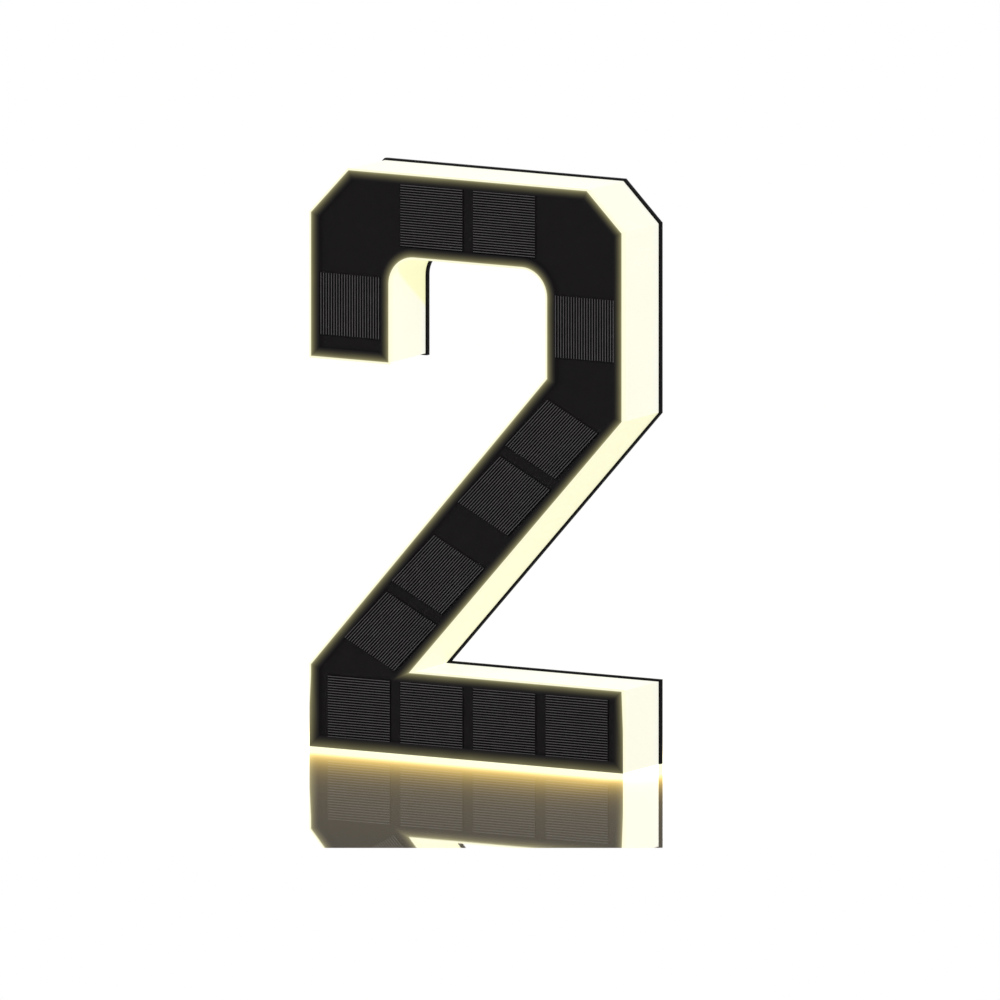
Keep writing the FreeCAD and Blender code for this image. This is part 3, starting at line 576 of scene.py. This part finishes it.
def black_board(name):
    """Black solder mask or print over a fine weave."""
    finish = Finish(name, Specular_IOR_Level=0.08)
    weave = [finish.sum("SINE", finish.sum("MULTIPLY", finish.axis(side), 9.0 / MM))
             for side in (0, 2)]
    threads = finish.sum("MULTIPLY_ADD", finish.sum("MULTIPLY", *weave), 0.5, 0.5)
    finish.tint(threads, (0.0135, 0.0119, 0.0127), (0.0155, 0.0137, 0.0146))
    finish.relief(finish.noise(5.0 * MM), 0.01 * MM, 0.1)
    finish.vary("Roughness", finish.noise(2.0 * MM), 0.35, 0.5)
    return finish


def milky_wall(body):
    """Milky plastic with a painted glow for the light from inside; the glow is yellower at the
    clear plate, and painted shade makes it yellower underneath and in the bay under the top bar.
    """
    finish = Finish("milky_wall", Specular_IOR_Level=0.3, Subsurface_Weight=0.15,
                    Subsurface_Scale=1.5 * MM)
    depth = finish.axis(1)
    top = finish.tree.nodes.new("ShaderNodeNewGeometry")
    facing = finish.tree.nodes.new("ShaderNodeSeparateXYZ")
    finish.tree.links.new(top.outputs["Normal"], facing.inputs[0])
    # Painted shade: faces that look down turn yellower.
    down = finish.ramp(finish.sum("MULTIPLY", facing.outputs[2], -1.0), 0.1, 1.0)
    # Painted glow, yellower at the clear plate and paler at the rear.
    front = finish.ramp(depth, COVER_BACK_Y, COVER_BACK_Y + 1.4 * MM)
    rear = finish.ramp(depth, PLATE_BACK_Y - 4.0 * MM, PLATE_BACK_Y - 1.0 * MM)
    colour = finish.mix(front, body.painted_front_glow, body.painted_middle_glow)
    colour = finish.mix(rear, colour, body.painted_rear_glow)
    # Painted shade in the bay under the top bar, above a line that drops towards the rear.
    line = finish.sum("MULTIPLY_ADD", finish.sum("SUBTRACT", depth, FACE_Y), -body.painted_shade_slope,
                      body.painted_shade_height)
    above = finish.ramp(finish.sum("SUBTRACT", finish.axis(2), line), -0.8 * MM, 0.8 * MM)
    inner = finish.sum("MULTIPLY", finish.sum("GREATER_THAN", facing.outputs[0], 0.2),
                       finish.sum("LESS_THAN", finish.axis(0), body.painted_shade_right))
    painted_shade_share = finish.sum("MAXIMUM", down, finish.sum("MULTIPLY", above, inner))
    colour = finish.mix(finish.sum("MULTIPLY", painted_shade_share, 0.9), colour, body.painted_underside_shade)
    cloud = finish.ramp(finish.noise(11.0 * MM, 2.0), 0.25, 0.75)
    colour = finish.mix(finish.sum("MULTIPLY", cloud, 0.06), colour,
                        shade(body.painted_underside_shade, 0.9))
    # The painted glow is the wall's emission.
    finish.link(colour, "Emission Color")
    finish.plain("Emission Strength", body.painted_wall_glow)
    finish.tint(finish.noise(7.0 * MM), (0.30, 0.30, 0.26), (0.34, 0.33, 0.29))
    finish.relief(finish.noise(0.5 * MM), 0.02 * MM, 0.2)
    finish.vary("Roughness", finish.noise(1.2 * MM), 0.42, 0.55)
    return finish


def moulded_plastic(name, colour, texture=0.35 * MM, depth=0.03 * MM, low=0.45, high=0.62):
    """Moulded plastic with a spark-eroded texture and a little uneven gloss."""
    finish = Finish(name, Specular_IOR_Level=0.04)
    pits = finish.sum("ADD", finish.grains(texture), finish.noise(2.0 * texture, 2.0))
    finish.relief(pits, depth, 0.6)
    finish.tint(finish.noise(6.0 * MM), shade(colour, 0.85), shade(colour, 1.25))
    finish.vary("Roughness", finish.noise(3.0 * MM), low, high)
    return finish


def soft_rubber(name, colour):
    """Matt rubber with a dusty bloom."""
    finish = Finish(name, Specular_IOR_Level=0.25, Sheen_Weight=0.1)
    finish.relief(finish.noise(0.4 * MM), 0.02 * MM, 0.4)
    finish.tint(finish.noise(2.5 * MM), colour, shade(colour, 1.6))
    finish.vary("Roughness", finish.noise(1.5 * MM), 0.65, 0.85)
    return finish


def foam_tape():
    """Closed-cell foam tape, its cells open on the cut sides."""
    finish = Finish("foam_tape", Specular_IOR_Level=0.2, Sheen_Weight=0.2)
    cells = finish.grains(0.28 * MM)
    finish.relief(cells, 0.06 * MM, 0.7)
    finish.tint(finish.ramp(cells, 0.2, 0.8), (0.045, 0.045, 0.047), (0.016, 0.016, 0.017))
    finish.vary("Roughness", finish.noise(1.0 * MM), 0.8, 0.95)
    return finish


def waxed_paper():
    """Waxed paper over the adhesive, with fibres and a soft crease."""
    finish = Finish("waxed_paper", Specular_IOR_Level=0.35)
    fibre = finish.noise(0.5 * MM, 4.0, (3.0, 1.0, 0.6))
    finish.relief(fibre, 0.02 * MM, 0.35)
    finish.tint(finish.noise(3.0 * MM, 4.0), (0.62, 0.56, 0.40), (0.72, 0.67, 0.50))
    finish.vary("Roughness", fibre, 0.35, 0.55)
    return finish


def worn_metal(name, colour, brush=(1.0, 1.0, 1.0), low=0.25, high=0.42):
    """Bare metal with tool marks and slight tarnish."""
    finish = Finish(name, Metallic=1.0)
    marks = finish.noise(0.25 * MM, 4.0, brush)
    finish.relief(marks, 0.01 * MM, 0.4)
    finish.tint(finish.noise(1.5 * MM), shade(colour, 0.72), colour)
    finish.vary("Roughness", marks, low, high)
    return finish


def circuit_green():
    """Green solder mask with the tracks showing as a slight relief."""
    finish = Finish("circuit_green", Specular_IOR_Level=0.5, Coat_Weight=0.3,
                    Coat_Roughness=0.15)
    tracks = finish.ramp(finish.grains(2.0 * MM, "DISTANCE_TO_EDGE"), 0.10, 0.04)
    finish.relief(tracks, 0.03 * MM, 0.5)
    finish.tint(tracks, (0.008, 0.055, 0.022), (0.02, 0.10, 0.045))
    finish.vary("Roughness", finish.noise(1.2 * MM), 0.28, 0.42)
    return finish


def lamp_phosphor():
    """Yellow window of a lamp, brightest over its chip."""
    finish = Finish("lamp_phosphor", Specular_IOR_Level=0.4, Emission_Strength=2.2)
    finish.link(finish.mix(finish.noise(0.7 * MM, 2.0), (1.0, 0.78, 0.30),
                           (1.0, 0.62, 0.18)), "Emission Color")
    finish.tint(finish.noise(0.4 * MM), (0.70, 0.52, 0.08), (0.80, 0.60, 0.12))
    finish.vary("Roughness", finish.noise(0.5 * MM), 0.35, 0.5)
    return finish


def printed_sleeve():
    """Shrink sleeve of the rechargeable cell, with its lengthwise shrink marks."""
    finish = Finish("cell_sleeve", Specular_IOR_Level=0.5, Coat_Weight=0.4,
                    Coat_Roughness=0.12)
    marks = finish.noise(1.0 * MM, 3.0, (0.2, 1.0, 1.0))
    finish.relief(marks, 0.03 * MM, 0.3)
    finish.tint(marks, (0.010, 0.13, 0.06), (0.018, 0.18, 0.085))
    finish.vary("Roughness", marks, 0.25, 0.4)
    return finish


# ---------------------------------------------------------------- pieces

class SIGN_OT_face_cover(bpy.types.Operator):
    """Cast the clear plate with its rounded edge and the painted glow inside it"""

    bl_idname = "sign.face_cover"
    bl_label = "Clear plate"

    def execute(self, context):
        face = context.scene.sign_face
        cover = copy_of("front_cover", "face_cover", lambda side: side.normal.y < 0.5)
        border = face.painted_glow_reach + face.painted_rim_width

        def in_front(points):
            return all(point.y < FACE_Y + TOLERANCE for point in points)

        with editing(cover):
            flare(cover, face.edge_flare)
            pick_edges(cover, lambda edge: in_front(v.co for v in edge.verts)
                       and any(side.normal.y > -0.9 for side in edge.link_faces))
            bpy.ops.mesh.bevel(offset=face.edge_round, segments=3, affect="EDGES")
            pick_faces(cover, lambda side: side.normal.y < -0.99
                       and in_front(v.co for v in side.verts))
            bpy.ops.mesh.inset(thickness=border, use_even_offset=True)
            shape = bmesh.from_edit_mesh(cover.data)
            distance = shape.verts.layers.float.new("edge_distance")
            for corner in shape.verts:
                # Less glow is painted along the foot, which stands on the floor.
                foot = corner.co.z < face.edge_round + TOLERANCE
                corner[distance] = (border if corner.select
                                    else 2 * face.painted_rim_width if foot else 0.0)
            bmesh.update_edit_mesh(cover.data)
            # The rear comes clear of the board and the cells that it would touch.
            pick_faces(cover, lambda side: side.normal.y > 0.99)
            bpy.ops.transform.translate(value=(0.0, -TOLERANCE, 0.0))

        shape = cover.data
        places = shape.vertices
        front = [side for side in shape.polygons if side.normal.y < -0.99
                 and in_front(places[i].co for i in side.vertices)]
        if len(front) < 2:
            raise RuntimeError("the clear plate has no border round its middle")
        middle = max(front, key=lambda side: side.area).index
        strip = {side.index for side in front} - {middle}
        for finish in (clear_resin("clear_resin", face.smoke), glowing_resin(face),
                       lit_edge(face), clear_resin("clear_resin_rear", face.pocket_smoke),
                       black_board("black_print")):
            shape.materials.append(finish.material)
        glowing, lit, pocket, printed = range(1, 5)
        give_faces(cover, pocket, lambda side: side.index != middle)
        give_faces(cover, printed, lambda side: side.normal.y > 0.99
                   and side.center.y > COVER_BACK_Y - 2 * TOLERANCE)
        give_faces(cover, glowing, lambda side: side.index in strip)
        give_faces(cover, lit, lambda side: side.index != middle and side.index not in strip
                   and min(places[i].co.y for i in side.vertices) < FACE_Y + face.edge_flare)
        # The foot's front faces take the painted glow as well.
        give_faces(cover, glowing, lambda side: side.normal.y < -0.1
                   and side.center.z < face.edge_round)
        smooth(cover)
        # Clear resin keeps no light from what lies behind it.
        cover.visible_shadow = cover.visible_diffuse = False
        stand_for(cover, "case", "clear_resin", "front_cover")
        return {"FINISHED"}


class SIGN_OT_solar_cells(bpy.types.Operator):
    """Print the silver lines on the solar cells and finish their board"""

    bl_idname = "sign.solar_cells"
    bl_label = "Solar cells"

    def execute(self, context):
        cells = context.scene.sign_cells
        for node in nodes_named("solar_cell_"):
            low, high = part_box(node)
            width = Vector((high.x - low.x, 0.0, 0.0))
            height = Vector((0.0, 0.0, high.z - low.z))
            sides = (width, height)
            if "diagonal" in node:
                sides = [Vector((math.cos(turn), 0.0, math.sin(turn))) * length
                         for turn, length in ((cells.slant_long_angle, cells.slant_long),
                                              (cells.slant_short_angle, cells.slant_short))]
            elif "hook" in node or "upright" in node:
                sides = (height, width)
            dress(node, solar_silicon(cells, node, (low + high) / 2, *sides))
        dress("panel_board", black_board("black_board"))
        return {"FINISHED"}


class SIGN_OT_side_wall(bpy.types.Operator):
    """Paint glow and shade on the milky side wall and finish the seal behind it"""

    bl_idname = "sign.side_wall"
    bl_label = "Side wall"

    def execute(self, context):
        dress("light_body", milky_wall(context.scene.sign_body))
        dress("gasket", soft_rubber("seal_rubber", (0.02, 0.02, 0.021)))
        return {"FINISHED"}


class SIGN_OT_rear_cover(bpy.types.Operator):
    """Mould the rear cover with softened edges and raised words at the button"""

    bl_idname = "sign.rear_cover"
    bl_label = "Rear cover"

    def execute(self, context):
        rear = context.scene.sign_rear
        plastic = moulded_plastic("black_plastic", rear.plastic)
        cover = copy_of("back_cover", "rear_cover")
        rounded(cover, rear.edge_round)
        smooth(cover)
        cover.data.materials.append(plastic.material)
        stand_for(cover, "case", "black_plastic", "back_cover")

        low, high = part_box("power_button")
        nothing_selected()
        bpy.ops.object.text_add(
            location=((low.x + high.x) / 2, PLATE_BACK_Y - 0.05 * MM, low.z - rear.mark_drop),
            rotation=(math.pi / 2, 0.0, math.pi))
        words = context.object
        words.name = "switch_words"
        words.data.body = "ON/OFF"
        words.data.align_x = "CENTER"
        words.data.size = rear.mark_height
        words.data.extrude = 0.08 * MM
        words.data.bevel_depth = 0.02 * MM
        bpy.ops.object.convert(target="MESH")
        placed(words)
        words.data.materials.append(
            moulded_plastic("word_print", rear.mark_colour, 0.1 * MM, 0.005 * MM).material)
        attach(words, "case")
        return {"FINISHED"}


class SIGN_OT_push_button(bpy.types.Operator):
    """Mould the push button with a hollow for the finger"""

    bl_idname = "sign.push_button"
    bl_label = "Push button"

    def execute(self, context):
        button = copy_of("power_button", "button_cap")
        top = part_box("power_button")[1].y
        with editing(button):
            pick_faces(button, lambda side: side.normal.y > 0.9999
                       and side.calc_area() > 5.0 * MM * MM
                       and side.calc_center_median().y > top - TOLERANCE)
            for step, drop in HOLLOW:
                bpy.ops.mesh.inset(thickness=step * MM, depth=-drop * MM,
                                   use_even_offset=True)
        smooth(button, 50.0)
        button.data.materials.append(
            moulded_plastic("button_black", (0.03, 0.03, 0.031), 0.2 * MM, 0.01 * MM,
                            0.3, 0.42).material)
        stand_for(button, "button", "button_black", "power_button")
        dress("switch_plunger", moulded_plastic("plunger_grey", (0.10, 0.10, 0.10)))
        dress("button_seal", soft_rubber("button_rubber", (0.03, 0.03, 0.031)))
        return {"FINISHED"}


class SIGN_OT_foam_pads(bpy.types.Operator):
    """Cut the foam pads with round corners and lay the paper on them"""

    bl_idname = "sign.foam_pads"
    bl_label = "Foam pads"

    def execute(self, context):
        rear = context.scene.sign_rear
        foam, paper = foam_tape(), waxed_paper()
        for node in nodes_named("adhesive_pad_"):
            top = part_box(node)[1].y
            pad = copy_of(node, node.replace("adhesive", "foam"))
            with editing(pad):
                pick_edges(pad, lambda edge: abs((edge.verts[0].co - edge.verts[1].co).y)
                           > 0.9 * edge.calc_length())
                bpy.ops.mesh.bevel(offset=rear.pad_round, segments=6, affect="EDGES")
                pick_faces(pad, lambda side: side.normal.y > 0.99)
                bpy.ops.transform.translate(value=(0.0, -0.08 * MM, 0.0))
                bpy.ops.mesh.inset(thickness=0.15 * MM, use_even_offset=True)
                bpy.ops.mesh.extrude_region_move(
                    TRANSFORM_OT_translate={"value": (0.0, 0.08 * MM, 0.0)})
            pad.data.materials.append(foam.material)
            pad.data.materials.append(paper.material)
            give_faces(pad, 1, lambda side: side.center.y > top - 0.075 * MM)
            stand_for(pad, "case", "foam_adhesive", node)
        return {"FINISHED"}


class SIGN_OT_fasteners(bpy.types.Operator):
    """Turn the screws with softened heads"""

    bl_idname = "sign.fasteners"
    bl_label = "Screws"

    def execute(self, context):
        steel = worn_metal("steel", (0.58, 0.57, 0.55))
        for node, name in (("case_screws", "cover_screws"), ("board_screws", "post_screws")):
            screws = copy_of(node, name)
            rounded(screws, 0.08 * MM)
            smooth(screws)
            screws.data.materials.append(steel.material)
            stand_for(screws, "case", "steel", node)
        return {"FINISHED"}


class SIGN_OT_lamps(bpy.types.Operator):
    """Finish the rows of lamps and the white sheet behind them"""

    bl_idname = "sign.lamps"
    bl_label = "Lamps"

    def execute(self, context):
        package = moulded_plastic("lamp_white", (0.78, 0.78, 0.76), 0.2 * MM, 0.01 * MM)
        phosphor = lamp_phosphor()
        for node in nodes_named("led_row_"):
            dress(node, package)
        for node in nodes_named("led_window_"):
            dress(node, phosphor)
        sheet = moulded_plastic("white_sheet", (0.80, 0.80, 0.79), 0.3 * MM, 0.01 * MM)
        dress("reflector_sheet", sheet)
        return {"FINISHED"}


class SIGN_OT_power(bpy.types.Operator):
    """Finish the rechargeable cell, its holder, the control board and the leads"""

    bl_idname = "sign.power"
    bl_label = "Power"

    def execute(self, context):
        nickel = worn_metal("nickel", (0.66, 0.63, 0.58), (0.3, 1.0, 1.0))
        black = moulded_plastic("component_black", (0.018, 0.018, 0.019), 0.15 * MM,
                                0.01 * MM)
        tan = moulded_plastic("component_tan", (0.42, 0.27, 0.13), 0.1 * MM, 0.005 * MM)
        holder = moulded_plastic("holder_black", (0.014, 0.014, 0.015))
        red = soft_rubber("lead_red", (0.30, 0.012, 0.010))
        dark = soft_rubber("lead_black", (0.012, 0.012, 0.012))
        finishes = {
            "battery_cell": printed_sleeve(), "battery_cap": nickel,
            "positive_contact": nickel, "negative_contact": nickel,
            "negative_spring": worn_metal("spring_wire", (0.60, 0.58, 0.55)),
            "battery_holder": holder, "control_board": circuit_green(),
            "charge_chip": black, "inductor": black, "diode": black,
            "capacitor": tan, "switch_body": holder,
            "solar_wire_red": red, "led_wire_red": red, "battery_wire_red": red,
            "solar_wire_black": dark, "led_wire_black": dark, "battery_wire_black": dark,
        }
        for node, finish in finishes.items():
            dress(node, finish)
        return {"FINISHED"}


# ---------------------------------------------------------------- stage

def studio_floor(stage):
    """Glossy white floor that mirrors the sign, with painted warm light round its foot."""
    finish = Finish("studio_floor")
    tree = finish.tree
    tree.nodes.remove(finish.shader)
    foot_low, foot_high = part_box("light_body")
    half = Vector(((foot_high.x - foot_low.x) / 2, (PLATE_BACK_Y - FACE_Y) / 2, 0.0))
    offset = finish.vector("SUBTRACT", finish.vector("ABSOLUTE", finish.place), tuple(half))
    outside = finish.vector("MAXIMUM", offset, (0.0, 0.0, 0.0))
    distance = finish.vector("LENGTH", finish.vector("MULTIPLY", outside, (1.0, 1.0, 0.0)))

    def fading(reach, strength):
        return finish.sum("MULTIPLY", finish.sum("EXPONENT", finish.sum(
            "DIVIDE", distance, -reach)), strength)

    def shader(kind, colour, **inputs):
        node = tree.nodes.new(kind)
        for name, value in inputs.items():
            node.inputs[name].default_value = value
        if isinstance(colour, bpy.types.NodeSocket):
            tree.links.new(colour, node.inputs["Color"])
        else:
            node.inputs["Color"].default_value = (*colour, 1.0)
        return node.outputs[0]

    def blend(share, first, second):
        node = tree.nodes.new("ShaderNodeMixShader")
        for index, value in enumerate((share, first, second)):
            if isinstance(value, bpy.types.NodeSocket):
                tree.links.new(value, node.inputs[index])
            else:
                node.inputs[index].default_value = value
        return node.outputs[0]

    def both(first, second):
        node = tree.nodes.new("ShaderNodeAddShader")
        tree.links.new(first, node.inputs[0])
        tree.links.new(second, node.inputs[1])
        return node.outputs[0]

    # Painted warm light tints the mirror round the foot.
    painted_warmth = finish.sum("MINIMUM", fading(4.0 * MM, 0.6), 1.0)
    painted_warm_mirror = finish.mix(painted_warmth, (1.0, 1.0, 1.0), (1.0, 0.93, 0.55))
    # Painted rings of light round the foot, for the camera only.
    painted_floor_light = (0.0, 0.0, 0.0)
    for colour, reach, strength in PAINTED_FLOOR_GLOW:
        ring = finish.vector("SCALE", colour, None, None, fading(reach * MM, strength))
        painted_floor_light = finish.vector("ADD", ring, painted_floor_light)
    painted_floor_light = finish.vector("MINIMUM", painted_floor_light, PAINTED_FLOOR_GLOW_LIMIT)
    path = tree.nodes.new("ShaderNodeLightPath")
    painted_floor_light = shader("ShaderNodeEmission", finish.vector(
        "SCALE", painted_floor_light, None, None, path.outputs["Is Camera Ray"]))
    white = blend(0.5, shader("ShaderNodeEmission", (1.0, 1.0, 1.0), Strength=1.4),
                  shader("ShaderNodeBsdfDiffuse", (1.0, 1.0, 1.0)))
    mirror = shader("ShaderNodeBsdfGlossy", painted_warm_mirror, Roughness=0.02)
    seen = both(painted_floor_light, blend(stage.mirror, white, mirror))
    plain = shader("ShaderNodeEmission", (1.0, 1.0, 1.0), Strength=PLAIN_LIGHT)
    whole = blend(path.outputs["Is Diffuse Ray"], seen, plain)
    output = next(node for node in tree.nodes if node.type == "OUTPUT_MATERIAL")
    tree.links.new(whole, output.inputs["Surface"])
    return finish


def studio_world():
    """White to the camera and in reflections, and a plain soft light otherwise."""
    world = bpy.data.worlds.new("studio")
    bpy.context.scene.world = world
    world.use_nodes = True
    tree = world.node_tree
    light = tree.nodes["Background"]
    light.inputs["Color"].default_value = (1.0, 1.0, 1.0, 1.0)
    light.inputs["Strength"].default_value = PLAIN_LIGHT
    white = tree.nodes.new("ShaderNodeBackground")
    white.inputs["Color"].default_value = (1.0, 1.0, 1.0, 1.0)
    white.inputs["Strength"].default_value = 1.0
    path = tree.nodes.new("ShaderNodeLightPath")
    seen = path.outputs["Is Camera Ray"]
    for kind in ("Is Glossy Ray", "Is Transmission Ray"):
        either = tree.nodes.new("ShaderNodeMath")
        either.operation = "MAXIMUM"
        tree.links.new(seen, either.inputs[0])
        tree.links.new(path.outputs[kind], either.inputs[1])
        seen = either.outputs[0]
    mix = tree.nodes.new("ShaderNodeMixShader")
    tree.links.new(seen, mix.inputs[0])
    tree.links.new(light.outputs[0], mix.inputs[1])
    tree.links.new(white.outputs[0], mix.inputs[2])
    tree.links.new(mix.outputs[0], tree.nodes["World Output"].inputs["Surface"])


def soft_lamp(name, place, size, power):
    """A large soft lamp that looks at the sign."""
    data = bpy.data.lights.new(name, "AREA")
    data.size = size
    data.energy = power
    lamp = bpy.data.objects.new(name, data)
    lamp.location = place
    lamp.rotation_euler = (Vector((0.0, 0.0, 0.06)) - Vector(place)).to_track_quat(
        "-Z", "Y").to_euler()
    bpy.context.scene.collection.objects.link(lamp)


class SIGN_OT_stage(bpy.types.Operator):
    """Lay the floor, hang the lamps and set up the camera"""

    bl_idname = "sign.stage"
    bl_label = "Stage"

    def execute(self, context):
        stage = context.scene.sign_stage
        turn, rise = stage.azimuth, stage.elevation
        right = Vector((math.cos(turn), math.sin(turn), 0.0))
        away = Vector((-math.sin(turn), math.cos(turn), 0.0))
        back = Vector((0.0, 0.0, math.sin(rise))) - away * math.cos(rise)
        up = Vector((0.0, 0.0, math.cos(rise))) + away * math.sin(rise)

        nothing_selected()
        middle = away * (stage.floor_size / 2 - stage.floor_front)
        bpy.ops.mesh.primitive_plane_add(size=stage.floor_size, rotation=(0.0, 0.0, turn),
                                         location=middle)
        floor = context.object
        floor.name = "floor"
        placed(floor)
        floor.data.materials.append(studio_floor(stage).material)

        studio_world()
        for lamp in LAMPS:
            soft_lamp(*lamp)

        data = bpy.data.cameras.new("camera")
        data.type = "ORTHO"
        data.ortho_scale = stage.view_width
        data.clip_start, data.clip_end = 0.01, 10.0
        camera = bpy.data.objects.new("camera", data)
        context.scene.collection.objects.link(camera)
        aim = right * stage.aim_right + up * stage.aim_up
        camera.location = aim + back * 1.0
        camera.rotation_euler = (-back).to_track_quat("-Z", "Y").to_euler()
        context.scene.camera = camera
        context.scene.view_settings.view_transform = "Standard"
        return {"FINISHED"}


# ---------------------------------------------------------------- panel

OPERATORS = (
    SIGN_OT_face_cover, SIGN_OT_solar_cells, SIGN_OT_side_wall, SIGN_OT_rear_cover,
    SIGN_OT_push_button, SIGN_OT_foam_pads, SIGN_OT_fasteners, SIGN_OT_lamps,
    SIGN_OT_power, SIGN_OT_stage,
)
SETTINGS = {
    "sign_face": SIGN_PG_face, "sign_cells": SIGN_PG_cells, "sign_body": SIGN_PG_body,
    "sign_rear": SIGN_PG_rear, "sign_stage": SIGN_PG_stage,
}


class SIGN_PT_panel(bpy.types.Panel):
    """House number"""

    bl_idname = "SIGN_PT_panel"
    bl_label = "House Number"
    bl_space_type = "VIEW_3D"
    bl_region_type = "UI"
    bl_category = "House Number"

    def draw(self, context):
        for operator in OPERATORS:
            self.layout.operator(operator.bl_idname)
        for name, group in SETTINGS.items():
            box = self.layout.box()
            box.label(text=group.__doc__)
            for setting in group.__annotations__:
                box.prop(getattr(context.scene, name), setting)


def register():
    for group in SETTINGS.values():
        bpy.utils.register_class(group)
    for name, group in SETTINGS.items():
        setattr(bpy.types.Scene, name, bpy.props.PointerProperty(type=group))
    for operator in OPERATORS:
        bpy.utils.register_class(operator)
    bpy.utils.register_class(SIGN_PT_panel)


def unregister():
    bpy.utils.unregister_class(SIGN_PT_panel)
    for operator in reversed(OPERATORS):
        bpy.utils.unregister_class(operator)
    for name in SETTINGS:
        delattr(bpy.types.Scene, name)
    for group in SETTINGS.values():
        bpy.utils.unregister_class(group)


def main():
    register()
    bpy.ops.sign.face_cover()
    bpy.ops.sign.solar_cells()
    bpy.ops.sign.side_wall()
    bpy.ops.sign.rear_cover()
    bpy.ops.sign.push_button()
    bpy.ops.sign.foam_pads()
    bpy.ops.sign.fasteners()
    bpy.ops.sign.lamps()
    bpy.ops.sign.power()
    bpy.ops.sign.stage()


if __name__ == "__main__":
    main()
